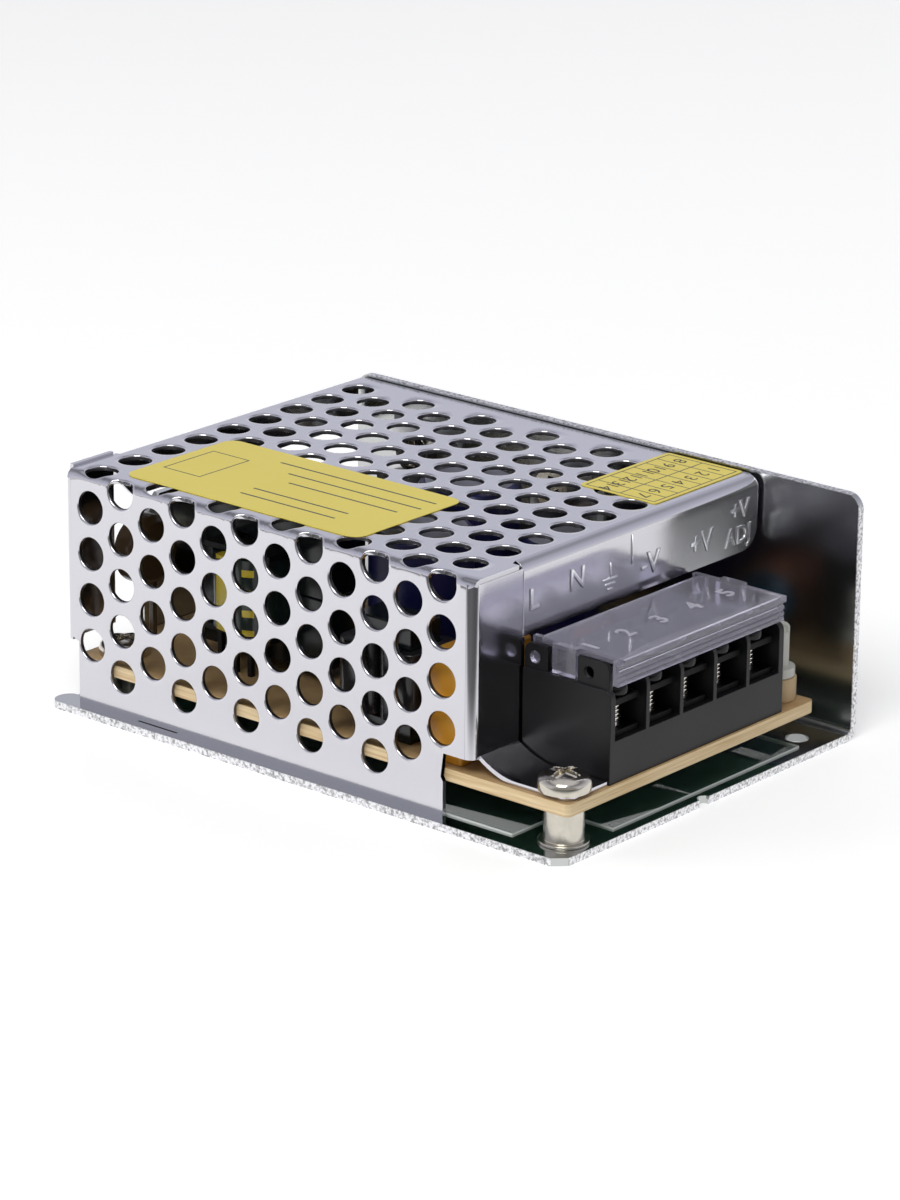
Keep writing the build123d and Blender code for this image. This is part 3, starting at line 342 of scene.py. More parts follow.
def boardFinish():
    # bare laminate: mottled tan with layered edges; green lacquer on the underside, painted lighter than its
    # own dark green as painted light
    paint = Paint("boardLaminate", {"IOR": 1.45})
    up = paint.facing()[2]
    mottle = paint.noise(260.0, 5.0, 0.65)
    layers = paint.noise(800.0, 3.0, 0.6, (0.12, 0.12, 4.0))
    tan = paint.ramp(mottle, [(0.25, tone(168, 136, 94)), (0.75, tone(194, 164, 120))])
    edge = paint.ramp(layers, [(0.3, tone(214, 182, 132)), (0.7, tone(246, 224, 184))])
    flatMask = up.absolute() > 0.5
    sides = paint.mix(flatMask, edge, tan)
    under = up < -0.5
    paint.surface({
        # painted light: the underside's green is much lighter than the lacquer's dark green, standing in for
        # light that does not reach it
        "Base Color": paint.mix(under, sides, tone(112, 160, 138)),
        "Roughness": 0.55 - under * 0.3 + (mottle - 0.5) * 0.15,
        "Normal": paint.bump(mottle * 0.4 + layers * 0.6, 0.15, 0.05)})
    return paint.material


def moulded(name, colour, rough, texture=0.08, scale=1500.0, colourSpread=0.15, shine=0.5):
    # moulded plastic: fine pebble in the surface, slight shifts in gloss
    paint = Paint(name, {"Specular IOR Level": shine})
    pebble = paint.noise(scale, 3.0, 0.6)
    cloud = paint.noise(120.0, 2.0)
    darker = tuple(c * (1 - colourSpread) for c in colour[:3]) + (1.0,)
    paint.surface({
        "Base Color": paint.mix(cloud, colour, darker),
        "Roughness": rough + (cloud - 0.5) * 0.12,
        "Normal": paint.bump(pebble, texture, 0.02)})
    return paint.material


def nickel(name, rough, light=tone(214, 209, 198), dark=tone(186, 180, 168)):
    # plated steel: small scuffs and turned marks
    paint = Paint(name, {"Metallic": 1.0})
    scuff = paint.noise(700.0, 5.0, 0.7)
    turned = paint.noise(900.0, 2.0, 0.5, (0.3, 0.3, 3.0))
    paint.surface({
        "Base Color": paint.mix(scuff, light, dark),
        "Roughness": rough + (scuff - 0.5) * 0.18,
        "Normal": paint.bump(scuff * 0.5 + turned * 0.5, 0.12, 0.03)})
    return paint.material


def clearMoulding():
    # clear moulded cover plate: smoky lavender, faint flow marks
    paint = Paint("clearMoulding", {
        "Transmission Weight": 0.9, "IOR": 1.49, "Base Color": tone(222, 220, 236)})
    flow = paint.noise(160.0, 3.0, 0.5, (0.4, 1, 1))
    paint.surface({"Roughness": 0.05 + flow * 0.08, "Normal": paint.bump(flow, 0.1, 0.06)})
    return paint.material


def clearFilm():
    # thin clear film, brighter at its cut edge
    paint = Paint("clearFilm", {"IOR": 1.5})
    up = paint.facing()[2]
    cloud = paint.noise(70.0, 2.0)
    edge = up.absolute() < 0.5
    paint.surface({
        "Base Color": paint.mix(edge, tone(96, 124, 112), tone(240, 245, 240)),
        "Roughness": 0.12 + cloud * 0.12,
        "Alpha": 0.14 + edge * 0.66})
    return paint.material


def labelFinish(name, rules):
    # coated yellow paper with thin printed rules; each rule is (x0, x1, y0, y1) in millimetres
    paint = Paint(name, {"Coat Weight": 0.15})
    x, y = paint.axes()[:2]
    fibre = paint.noise(900.0, 4.0, 0.6)
    cloud = paint.noise(60.0, 2.0)
    paper = paint.mix(cloud, tone(232, 214, 92), tone(226, 206, 84))
    marks = [(x > x0) * (x < x1) * (y > y0) * (y < y1) for x0, x1, y0, y1 in rules]
    ink = sum(marks[1:], marks[0]).clamped()
    paint.surface({
        "Base Color": paint.mix(ink, paper, tone(44, 40, 22)),
        "Roughness": 0.42 + fibre * 0.1,
        "Normal": paint.bump(fibre, 0.05, 0.02)})
    return paint.material


canTop = dict(rim=0.9, scoreRim=1.6, scoreHalf=0.12)


def canFinish(name, centre, radius, sleeve):
    # shrunk sleeve on an aluminium can: bare pressed top inside the sleeve's rim, scored with a cross
    paint = Paint(name, {})
    x, y = paint.axes()[:2]
    across, along = x - centre[0], y - centre[1]
    reach = (across * across + along * along).root()
    up = paint.facing()[2]
    bare = (up > 0.8) * (reach < radius - canTop["rim"])
    arms = (across.absolute() < canTop["scoreHalf"]) + (along.absolute() < canTop["scoreHalf"])
    score = arms.clamped() * (reach < radius - canTop["scoreRim"]) * bare
    cloud = paint.noise(300.0, 3.0)
    paint.surface({
        "Base Color": paint.mix(bare, sleeve, tone(190, 190, 200)),
        "Metallic": bare,
        "Roughness": 0.3 + cloud * 0.12 + bare * 0.05,
        "Normal": paint.bump(cloud * 0.1 - score, 0.5, 0.15)})
    return paint.material


wrapPrint = dict(start=2.2, end=3.6, pitch=2.6, share=0.35)


def tapeFinish(name, first, second, pitch, wrap=None):
    # layers of glossy tape with a fine step at each turn's end; wrap is (x0, x1, colour): outside that span
    # the tape is covered by a printed wrap with small bars of the tape's colour on it
    paint = Paint(name, {"Coat Weight": 0.4, "Coat Roughness": 0.1})
    x, _, z = paint.axes()
    step = (z / pitch).fraction()
    cloud = paint.noise(140.0, 3.0)
    tape = paint.mix(cloud, first, second)
    if wrap:
        start, end, colour = wrap
        p = wrapPrint
        bars = (x > end + p["start"]) * (x < end + p["end"]) * ((z / p["pitch"]).fraction() < p["share"])
        tape = paint.mix(((x > start) * (x < end) + bars).clamped(), colour, tape)
    paint.surface({
        "Base Color": tape,
        "Roughness": 0.22 + cloud * 0.12,
        "Normal": paint.bump(step * 0.5 + cloud * 0.5, 0.35, 0.12)})
    return paint.material


deviceSize = dict(tabFront=26.45, leadTop=11.05, bodyTop=20.35, holeSide=20.0)


def deviceFinish():
    # moulded body on a tinned tab with tinned leads; the tab lies at the wall, the leads hang below the body
    paint = Paint("powerDevice", {})
    y, z = paint.axes()[1:]
    bareTab = (z > deviceSize["bodyTop"]) * (y > deviceSize["holeSide"])
    metal = ((y > deviceSize["tabFront"]) + (z < deviceSize["leadTop"]) + bareTab).clamped()
    cloud = paint.noise(500.0, 3.0)
    paint.surface({
        "Base Color": paint.mix(metal, tone(34, 34, 36), tone(196, 196, 198)),
        "Metallic": metal,
        "Roughness": 0.45 - metal * 0.15 + (cloud - 0.5) * 0.1,
        "Normal": paint.bump(cloud, 0.08, 0.03)})
    return paint.material


def terminalScrewFinish(headBase=16.9):
    # nickelled thread under a head painted dark as shade, which begins at headBase
    paint = Paint("terminalScrewFinish", {"Metallic": 1.0})
    z = paint.axes()[2]
    scuff = paint.noise(700.0, 5.0, 0.7)
    paint.surface({
        # painted shade: the nickel head, in the shade under the flap, is coloured near black; the thread
        # keeps the nickel colour
        "Base Color": paint.mix(z > headBase, tone(236, 232, 224), tone(44, 43, 44)),
        "Roughness": 0.18 + (scuff - 0.5) * 0.18,
        "Normal": paint.bump(scuff, 0.12, 0.03)})
    return paint.material


screwNickel = nickel("screwNickel", 0.17)
# painted shade: nickel contacts and clamps coloured near black, standing in for the shade deep in the
# terminal cells
nickelPaintedShade = nickel("nickelPaintedShade", 0.5, tone(34, 33, 33), tone(22, 22, 22))
terminalScrewMetal = terminalScrewFinish()
blackMoulding = moulded("blackMoulding", tone(19, 19, 21), 0.42, 0.1, 1300.0, 0.2, shine=0.3)
ferrite = moulded("ferrite", tone(22, 30, 32), 0.16, 0.08, 900.0, 0.3)
coilBlack = tapeFinish("coilTape", tone(24, 24, 26), tone(36, 36, 40), 0.7)
greenWrap = (-20.4, -18.2, tone(22, 38, 34))
windingTape = tapeFinish("windingTape", tone(232, 208, 56), tone(206, 180, 44), 2.4, greenWrap)
print("finishes made")


# perforated cover: side and top as one sheet, folded over the bend

tiny, farAway = 1e-6, 1e9


def foldSheet(x, s, depth):
    # s runs up the side, round the bend and along the top; depth runs inward from the outer face
    c = coverSize
    start = c["top"] - c["bend"]
    angle = np.clip((s - start) / c["bend"], 0, np.pi / 2)
    beyond = np.maximum(s - start - c["bend"] * np.pi / 2, 0)
    y = c["nearSide"] + c["bend"] - (c["bend"] - depth) * np.cos(angle) + beyond
    z = np.minimum(s, start) + (c["bend"] - depth) * np.sin(angle)
    return np.stack(np.broadcast_arrays(x, y, z), -1)


def sheetRun(y):
    # the distance s of a point of the top sheet at y
    c = coverSize
    return c["top"] - c["bend"] + c["bend"] * np.pi / 2 + y - c["nearSide"] - c["bend"]


def holeCentres():
    # staggered columns; every second column is half a pitch off
    c, h = coverSize, holeSize
    centres = []
    for column in range(h["columns"]):
        x = c["rear"] + h["margin"] + column * h["pitch"] * math.sin(math.radians(h["rowAngle"]))
        shift = column % 2 * h["pitch"] / 2
        wide = x + h["radius"] > c["tongueFront"] or x - h["radius"] < c["tongueRear"]
        lowest = (flangeSize["foot"] if wide else h["bottomLand"]) + h["radius"]
        lastRun = c["topFar"] - h["farLand"] - h["radius"] - c["nearSide"]
        drops = np.arange(h["firstDrop"] - shift, c["top"] - lowest + tiny, h["pitch"])
        runs = np.arange(h["firstRun"] + shift, lastRun + tiny, h["pitch"])
        centres += [(x, c["top"] - drop) for drop in drops]
        centres += [(x, sheetRun(c["nearSide"] + run)) for run in runs]
    return np.array(centres)


def sheetOutline():
    # corners of the unfolded sheet as (x, s), starting at the tongue that stands on the plate
    c, f = coverSize, flangeSize
    sideFront, sideRear = c["front"] - c["cornerBend"], c["rear"] + c["cornerBend"]
    start, seamRun, farRun = c["top"] - c["bend"], sheetRun(f["end"]), sheetRun(c["topFar"])
    lipStart, rearLipStart = c["front"] - lipSize["bend"], c["rear"] + lipSize["bend"]
    rearSeam = sheetRun(lipSize["rearNear"])
    return np.array([
        (c["tongueRear"], c["plate"]), (c["tongueFront"], c["plate"]), (c["tongueFront"], f["foot"]),
        (sideFront, f["foot"]), (sideFront, start), (c["front"], start), (c["front"], seamRun),
        (lipStart, seamRun), (lipStart, farRun), (rearLipStart, farRun), (rearLipStart, rearSeam),
        (c["topRear"], rearSeam), (c["topRear"], start),
        (sideRear, start), (sideRear, f["foot"]), (c["tongueRear"], f["foot"])])


def cross(a, b):
    return a[..., 0] * b[..., 1] - a[..., 1] * b[..., 0]


def cellBorders(centres, outline, angle, ray):
    # each hole owns the part of the sheet nearest to it: every ray from its centre ends at the nearest of the
    # halfway lines to the other holes and the edges of the outline; gives the ends of the rays, and whether
    # each lies on the outline
    count = len(centres)
    away = centres[None] - centres[:, None]
    distance = np.linalg.norm(away, axis=-1)
    np.fill_diagonal(distance, farAway)
    unit = away / distance[..., None]
    lean = np.einsum("ijc,kc->ikj", unit, ray)
    halfway = np.where(lean > tiny, distance[:, None, :] / 2 / np.maximum(lean, tiny), farAway)
    edge = np.roll(outline, -1, 0) - outline
    toEdge = outline[None, None] - centres[:, None, None]
    slant = cross(ray[None, :, None], edge[None, None])
    slant = np.where(np.abs(slant) < tiny / 1000, tiny / 1000, slant)
    travel = cross(toEdge, edge[None, None]) / slant
    along = cross(toEdge, ray[None, :, None]) / slant
    hit = (travel > tiny) & (along > -tiny) & (along < 1 + tiny)
    reach = np.concatenate([halfway, np.where(hit, travel, farAway)], -1)
    which = reach.argmin(-1)
    border = centres[:, None] + ray[None] * reach.min(-1)[..., None]
    # every line as a normal and a level; where the nearest line changes, the closer ray moves to their corner
    edgeNormal = np.stack([edge[:, 1], -edge[:, 0]], -1)
    normal = np.concatenate([unit, np.broadcast_to(edgeNormal, (count, *edgeNormal.shape))], 1)
    edgeLevel = (outline * edgeNormal).sum(-1)
    level = np.concatenate([distance / 2 + np.einsum("ijc,ic->ij", unit, centres),
                            np.broadcast_to(edgeLevel, (count, len(edge)))], 1)
    rows = np.arange(count)[:, None]
    nextWhich = np.roll(which, -1, 1)
    n1, n2 = normal[rows, which], normal[rows, nextWhich]
    l1, l2 = level[rows, which], level[rows, nextWhich]
    turn = cross(n1, n2)
    safe = np.where(np.abs(turn) < tiny, 1.0, turn)
    corner = np.stack([l1 * n2[..., 1] - l2 * n1[..., 1], n1[..., 0] * l2 - n2[..., 0] * l1], -1)
    corner = corner / safe[..., None]
    toCorner = corner - centres[:, None]
    bearing = np.arctan2(toCorner[..., 1], toCorner[..., 0]) - angle
    bearing = (bearing + np.pi) % (2 * np.pi) - np.pi
    step, slack = angle[1], 1e-3
    good = (which != nextWhich) & (np.abs(turn) > tiny) & (bearing > -slack) & (bearing < step + slack)
    early = good & (bearing < step / 2)
    late = good & ~early
    border = np.where(early[..., None], corner, border)
    border = np.where(np.roll(late, 1, 1)[..., None], np.roll(corner, 1, 1), border)
    line = np.where(which == nextWhich, which, np.where(early, nextWhich, which))
    return border, line >= count


def perforatedSheet():
    # rings of points run round each hole: from the border of its part of the sheet over the rolled rim,
    # through the hole and back to the border inside; where that border is the outline, a face closes the edge
    h, t = holeSize, coverSize["thickness"]
    centres = holeCentres()
    count, rays = len(centres), h["rays"]
    angle = np.arange(rays) * 2 * np.pi / rays
    ray = np.stack([np.cos(angle), np.sin(angle)], -1)
    border, onOutline = cellBorders(centres, sheetOutline(), angle, ray)
    rim = centres[:, None] + ray[None] * h["radius"]
    span = np.linalg.norm(border - rim, axis=-1)
    roll = np.minimum(h["roll"] / np.maximum(span, 1e-3), 0.45)
    # each ring: (share of the way from the roll to the border, share of the roll, depth)
    rings = [(1.0, None, 0.0), (0.66, None, 0.0), (0.33, None, 0.0), (0.0, 1.0, 0.0), (0.0, 0.5, 0.035),
             (0.0, 0.14, 0.1), (0.0, 0.0, h["roll"]), (0.0, 0.0, t), (0.5, None, t), (1.0, None, t)]
    layers = []
    for share, rolled, depth in rings:
        if rolled is not None:
            way = roll * rolled
        else:
            way = share * np.ones_like(span) if depth == t else roll + (1 - roll) * share
        flat = rim + (border - rim) * way[..., None]
        layers.append(foldSheet(flat[..., 0], flat[..., 1], depth))
    points = np.stack(layers, 1)
    size = len(rings) * rays
    ringFaces = gridFaces(len(rings), rays, wrapColumns=True)
    faces = (ringFaces[None] + np.arange(count)[:, None, None] * size).reshape(-1, 4)
    cell, k = np.nonzero(onOutline)
    base, last, k2 = cell * size, (len(rings) - 1) * rays, (k + 1) % rays
    closing = np.stack([base + last + k, base + last + k2, base + k2, base + k], -1)
    return points.reshape(-1, 3), np.concatenate([faces, closing])


def cornerFlange(xEdge, inward, yEnd, zRows, towards, tuck=0.0, tuckTop=0.0):
    # a flange folded in from the side round an upright bend; towards is +1 at the front and -1 at the rear;
    # up to tuckTop its edge runs on by tuck
    c = coverSize
    r, t = c["cornerBend"], c["thickness"]
    angle = np.linspace(0, np.pi / 2, 10)
    xArc = inward + towards * np.sin(angle) * r
    yArc = c["nearSide"] + r - np.cos(angle) * r
    xIn = inward + towards * np.sin(angle) * (r - t)
    yIn = c["nearSide"] + r - np.cos(angle) * (r - t)
    z = np.asarray(zRows)[:, None]
    columns = 7
    along = np.linspace(0, 1, columns + 1)[None, 1:]
    yStart = c["nearSide"] + r
    yRun = yStart + (yEnd + tuck * (z <= tuckTop) - yStart) * along
    x = np.concatenate([xArc, np.full(columns, xEdge)])
    xi = np.concatenate([xIn, np.full(columns, xEdge - towards * t)])
    y, yi = (np.concatenate([np.broadcast_to(arc, (len(z), len(arc))), yRun], 1) for arc in (yArc, yIn))
    outer = np.stack(np.broadcast_arrays(x[None], y, z), -1)
    inner = np.stack(np.broadcast_arrays(xi[None], yi, z), -1)
    return slab(outer, inner)


earSize = dict(gap=0.1, seam=0.002, middle=0.4, rise=0.3)


def rearEar():
    # the rear flange's upper edge, which stands a little above the top sheet, from the bend to its end
    c, e = coverSize, earSize
    y = np.linspace(c["nearSide"] + c["bend"] + e["gap"], flangeSize["rearEnd"], 8)[None]
    z = c["top"] + np.array([[e["seam"] - c["bend"]], [-e["middle"]], [e["rise"]]])
    outer = np.stack(np.broadcast_arrays(c["rear"], y, z), -1)
    return slab(outer, outer + np.array([c["thickness"], 0, 0]))


def cornerRise(distance, radius):
    # a quarter circle: how far an edge has risen at a distance from the end of its rounded corner
    inward = np.clip(radius - distance, 0, radius)
    return radius - np.sqrt(radius ** 2 - inward ** 2)


def lipSheet(xEdge, towards, near, bottom, nearRadius, farRadius, nearCut=0.0):
    # a lip bent down from the top sheet: the arc of the bend, then flat to a lower edge with worked corners;
    # towards is +1 at the front and -1 at the rear
    c, r, far = coverSize, lipSize["bend"], lipSize["far"]
    y = near + (far - near) * (1 - np.cos(np.linspace(0, np.pi, 60))) / 2
    low = bottom + np.maximum(nearCut - (y - near), 0)
    low = low + cornerRise(y - near, nearRadius) + cornerRise(far - y, farRadius)
    angle = np.linspace(0, np.pi / 2, 10)[:, None]
    down = np.linspace(0, 1, 9)[1:, None]

    def face(depth):
        xArc = xEdge + towards * (np.sin(angle) * (r - depth) - r) + 0 * y
        zArc = c["top"] - r + np.cos(angle) * (r - depth) + 0 * y
        xFlat = np.full((len(down), len(y)), xEdge - towards * depth)
        zFlat = c["top"] - r + (low - c["top"] + r) * down
        x, z = np.concatenate([xArc, xFlat]), np.concatenate([zArc, zFlat])
        return np.stack([x, np.broadcast_to(y, x.shape), z], -1)
    return slab(face(0.0), face(c["thickness"]))


footSize = dict(near=-25.9, far=-18.75, front=40.0, rampEnd=32.1, seat=7.6, steepness=1.9, rise=0.35,
                rampLimit=1.12, tipRadius=1.2)


def footSheet():
    # screw foot: leaves the flange's lower edge, runs down a soft ramp, a power of the way that is left, and
    # lies flat on the board
    f, t, back = footSize, coverSize["thickness"], coverSize["front"]
    x = np.linspace(back - t, f["front"], 26)
    ramp = np.clip((f["rampEnd"] - x) / (f["rampEnd"] - back), 0, f["rampLimit"])
    z = f["seat"] + (flangeSize["foot"] - f["seat"] + f["rise"]) * ramp ** f["steepness"]
    tip = np.clip((x - f["front"]) / f["tipRadius"] + 1, 0, 1)
    near = f["near"] + f["tipRadius"] * (1 - np.sqrt(1 - tip ** 2))
    y = near + (f["far"] - near) * np.linspace(0, 1, 8)[:, None]
    top = np.stack(np.broadcast_arrays(x[None], y, z[None]), -1)
    return slab(top, top - np.array([0, 0, t]))


hookSize = dict(rear=-27.4, front=-21.1, low=0.1, high=1.05)


def hookTab():
    # flat tab under the side sheet, down in the plate's slot
    x = np.linspace(hookSize["rear"], hookSize["front"], 5)[None]
    z = np.linspace(hookSize["low"], hookSize["high"], 3)[:, None]
    outer = np.stack(np.broadcast_arrays(x, coverSize["nearSide"], z), -1)
    return slab(outer, outer + np.array([0, coverSize["thickness"], 0]))


def coverBends():
    # the two flanges, the ear on the rear one, the two lips, the screw foot and the hook tab as one mesh
    c, f, lip = coverSize, flangeSize, lipSize
    tuckTop = lip["bottom"] - f["tuckGap"]
    frontRows = np.concatenate([np.linspace(f["foot"], tuckTop, 8),
                                np.linspace(lip["bottom"] - f["tuckStep"], c["top"] - f["topGap"], 5)])
    rearRows = np.linspace(f["foot"], c["top"] - c["bend"], 12)
    frontBend, rearBend = c["front"] - c["cornerBend"], c["rear"] + c["cornerBend"]
    return joined(
        cornerFlange(c["front"], frontBend, f["end"], frontRows, 1, f["tuck"], tuckTop),
        cornerFlange(c["rear"], rearBend, f["rearEnd"], rearRows, -1),
        rearEar(),
        lipSheet(c["front"], 1, f["end"] + lip["seam"], lip["bottom"], lip["nearRadius"], lip["farRadius"]),
        lipSheet(c["rear"], -1, lip["rearNear"], lip["rearBottom"], 0.0, lip["nearRadius"], lip["rearCut"]),
        footSheet(),
        hookTab())


sheetPoints, sheetFaces = perforatedSheet()
coverSheet = newPiece("coverSheet", sheetPoints, sheetFaces, "case", "cover", coverMetal, 50.0, turn=False)
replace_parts(coverSheet, "cover")
roundEdges(newPiece("coverFolds", *coverBends(), "case", "cover", coverMetal, 40.0), 0.1)
print("cover made,", len(sheetFaces), "faces in the perforated sheet")


# chassis and the plain pieces

dress("chassis", "case", plateMetal, 0.12)
dress("insulation_film", "case", clearFilm())
dress("standoffs", "case", nickel("standoffSteel", 0.24), 0.12)
dress("circuit_board", "case", boardFinish(), 0.06)
dress("terminal_block", "case", blackMoulding, 0.22)
dress("terminal_contacts", "case", nickelPaintedShade, 0.06)
dress("terminal_flap", "flap", clearMoulding(), 0.12)
dress("trimmer_base", "case", moulded("trimmerBase", tone(205, 178, 138), 0.5), 0.15)
dress("trimmer_rotor", "trimmer", moulded("trimmerRotor", tone(214, 214, 206), 0.35), 0.15)
dress("transformer_core", "case", ferrite, 0.2)
dress("transformer_bobbin", "case", blackMoulding, 0.08)
dress("transformer_winding", "case", windingTape, 0.3)
canSize = dict(bulk_capacitor=(2.5, -8.5, 6.5), output_capacitor=(-5.0, 9.5, 6.5),
               filter_capacitor=(7.2, 12.5, 5.0))  # middle and radius
for node, (x, y, radius) in canSize.items():
    dress(node, "case", canFinish(node + "Sleeve", (x, y), radius, tone(26, 28, 78)), 0.25, smooth=40.0)
dress("box_capacitor", "case", moulded("boxCapacitor", tone(236, 168, 52), 0.38, 0.06), 0.2)
dress("snubber_capacitor", "case", moulded("dippedBrown", tone(84, 66, 46), 0.22, 0.1, 500.0), 0.25)
dress("disc_capacitor", "case", moulded("dippedBlue", tone(46, 96, 126), 0.25, 0.1, 500.0), 0.25)
dress("inrush_limiter", "case", moulded("dippedGreen", tone(30, 40, 30), 0.5, 0.2, 500.0), 0.25)
dress("input_fuse", "case", moulded("fuseRed", tone(110, 36, 22), 0.3), 0.1)
dress("bridge_rectifier", "case", blackMoulding, 0.1)
dress("optocoupler", "case", moulded("packageWhite", tone(220, 218, 208), 0.4), 0.1)
dress("control_chip", "case", blackMoulding, 0.1)
dress("choke_core", "case", ferrite, 0.25)
dress("choke_coils", "case", coilBlack, 0.15)
dress("inductor_core", "case", moulded("ringCoat", tone(40, 92, 62), 0.4), 0.4)
tinnedDevice = deviceFinish()
dress("power_transistor", "case", tinnedDevice, 0.06)
dress("output_rectifier", "case", tinnedDevice, 0.06)
dress("insulating_pads", "case", moulded("thermalPad", tone(188, 192, 196), 0.6))
dress("device_screws", "case", screwNickel, 0.08)

ruledPrint = dict(box=(-30.6, -24.4, -19.2, -10.0), boxLine=0.2, ruleLine=0.32, rules=[
    (-21.0, 4.4, -8.2), (-17.2, 4.4, -11.0), (-14.6, 3.0, -13.8), (-16.4, -1.0, -18.2), (-16.4, -1.0, -20.6)])
left, right, low, high = ruledPrint["box"]
line = ruledPrint["boxLine"]
rules = [(left, right, high - line, high), (left, right, low, low + line),
         (left, left + line, low, high), (right - line, right, low, high)]
rules += [(start, end, y, y + ruledPrint["ruleLine"]) for start, end, y in ruledPrint["rules"]]
dress("ruled_label", "case", labelFinish("ruledPaper", rules), 0.04)

gridPrint = dict(columns=(12.9, 18.2, 23.5), low=10.2, row=2.36, rows=7, line=0.18)
columns, low, line = gridPrint["columns"], gridPrint["low"], gridPrint["line"]
levels = [low + gridPrint["row"] * k for k in range(gridPrint["rows"] + 1)]
rules = [(columns[0], columns[-1] + line, level, level + line) for level in levels]
rules += [(x, x + line, low, levels[-1] + line) for x in columns]
dress("number_label", "case", labelFinish("numberPaper", rules), 0.04)
print("solids dressed")


# screws: domed heads with a worn cross recess

crossSize = dict(rings=34, turns=120, rim=0.42, underRim=0.16, armHalf=0.14, armEnd=0.6, wall=0.05,
                 endWall=0.07, depth=0.55, shallower=0.25, burr=0.05)


def crossHead(centre, seat, radius, height, shank, tip, seed, thread=0.0):
    # the top is a height field on a polar grid: a dome less a cross that deepens smoothly towards the middle;
    # below it a profile of radii and heights is turned round the same axis, grooved where it has a thread
    s = crossSize
    angle = np.linspace(0, 2 * np.pi, s["turns"], endpoint=False)[:, None]
    r = radius * np.linspace(0, 1, s["rings"])[None] ** 0.85
    x, y = r * np.cos(angle), r * np.sin(angle)
    dome = height * (s["rim"] + (1 - s["rim"]) * np.sqrt(np.clip(1 - (r / radius) ** 2.6, 0, 1)))
    rng = np.random.default_rng(seed)
    wobble = 0.06 * radius * np.sin(3 * angle + rng.uniform(0, 6))
    wobble = wobble + 0.03 * radius * np.sin(7 * angle + rng.uniform(0, 6))
    armHalf = radius * s["armHalf"] * (1.35 - r / radius) + wobble * 0.25
    armEnd = radius * s["armEnd"] + wobble
    arm = np.minimum(np.abs(x), np.abs(y))
    reach = np.maximum(np.abs(x), np.abs(y))
    inside = np.clip((armHalf - arm) / (radius * s["wall"]), 0, 1)
    inside = inside * np.clip((armEnd - reach) / (radius * s["endWall"]), 0, 1)
    inside = inside * inside * (3 - 2 * inside)
    burr = s["burr"] * height * np.exp(-((arm - armHalf) / (radius * s["wall"])) ** 2)
    burr = burr * (reach < radius * (s["armEnd"] + 0.02))
    z = dome - inside * height * (s["depth"] - s["shallower"] * r / radius) + burr
    top = np.stack([centre[0] + x, centre[1] + y, seat + z], -1)
    profile = [(radius, seat + height * s["underRim"]), (radius * 0.97, seat), (shank, seat)]
    turnsDown = int((seat - tip - 0.6) / thread) if thread else 0
    profile += [(shank - cut, seat - 0.1 - thread * (k + part)) for k in range(turnsDown)
                for cut, part in ((0.0, 0.1), (0.24, 0.5), (0.0, 0.9))]
    profile += [(shank, tip + 0.4), (shank * 0.75, tip), (0.0, tip)]
    radii, heights = np.array(profile).T
    turned = centre[0] + radii * np.cos(angle), centre[1] + radii * np.sin(angle), heights
    points = np.concatenate([top, np.stack(np.broadcast_arrays(*turned), -1)], 1)
    return points.reshape(-1, 3), gridFaces(s["turns"], points.shape[1], wrapRows=True)


boardScrew = dict(spots=[(37.6, -23.65, 7.6), (-34.55, -22.35, 7.0), (-34.55, 17.25, 7.0)], radius=3.25,
                  height=2.2, shank=1.45, length=5.5)
b = boardScrew
heads = joined(*[crossHead((x, y), seat, b["radius"], b["height"], b["shank"], seat - b["length"], seed)
                 for seed, (x, y, seat) in enumerate(b["spots"])])
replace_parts(newPiece("boardScrews", *heads, "case", "board_screws", screwNickel, 40.0), "board_screws")

terminalScrew = dict(x=36.75, ways=[-14.65, -8.15, -1.65, 4.85, 11.35], radius=2.5, height=1.8, shank=1.45,
                     thread=0.5, firstSeed=6)
s = terminalScrew
for way, y in enumerate(s["ways"], start=1):
    low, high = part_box(f"terminal_screw_{way}")
    seat, tip, seed = high.z / mm - s["height"], low.z / mm, s["firstSeed"] + way - 1
    turned = crossHead((s["x"], y), seat, s["radius"], s["height"], s["shank"], tip, seed, s["thread"])
    screw = newPiece(f"terminalScrew{way}", *turned, f"screw_{way}", "terminal_hardware",
                     terminalScrewMetal, 40.0)
    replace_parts(screw, f"terminal_screw_{way}")
    dress(f"terminal_clamp_{way}", f"clamp_{way}", nickelPaintedShade, 0.1)
print("screws made")


# output inductor: one wire wound round the ring

windingSize = dict(x=19.4, y=8.8, board=7.0, standOff=1.05, middle=3.75, halfWide=1.25, halfHigh=2.5,
                   wire=0.42, gap=0.1, turns=26, arc=300.0, squareness=0.35, perTurn=28, sides=8)


def squared(value):
    # a sine or cosine pushed towards its ends, which makes a rounded box of a circle
    return np.sign(value) * np.abs(value) ** windingSize["squareness"]


def unitLength(vectors):
    return vectors / np.linalg.norm(vectors, axis=-1, keepdims=True)


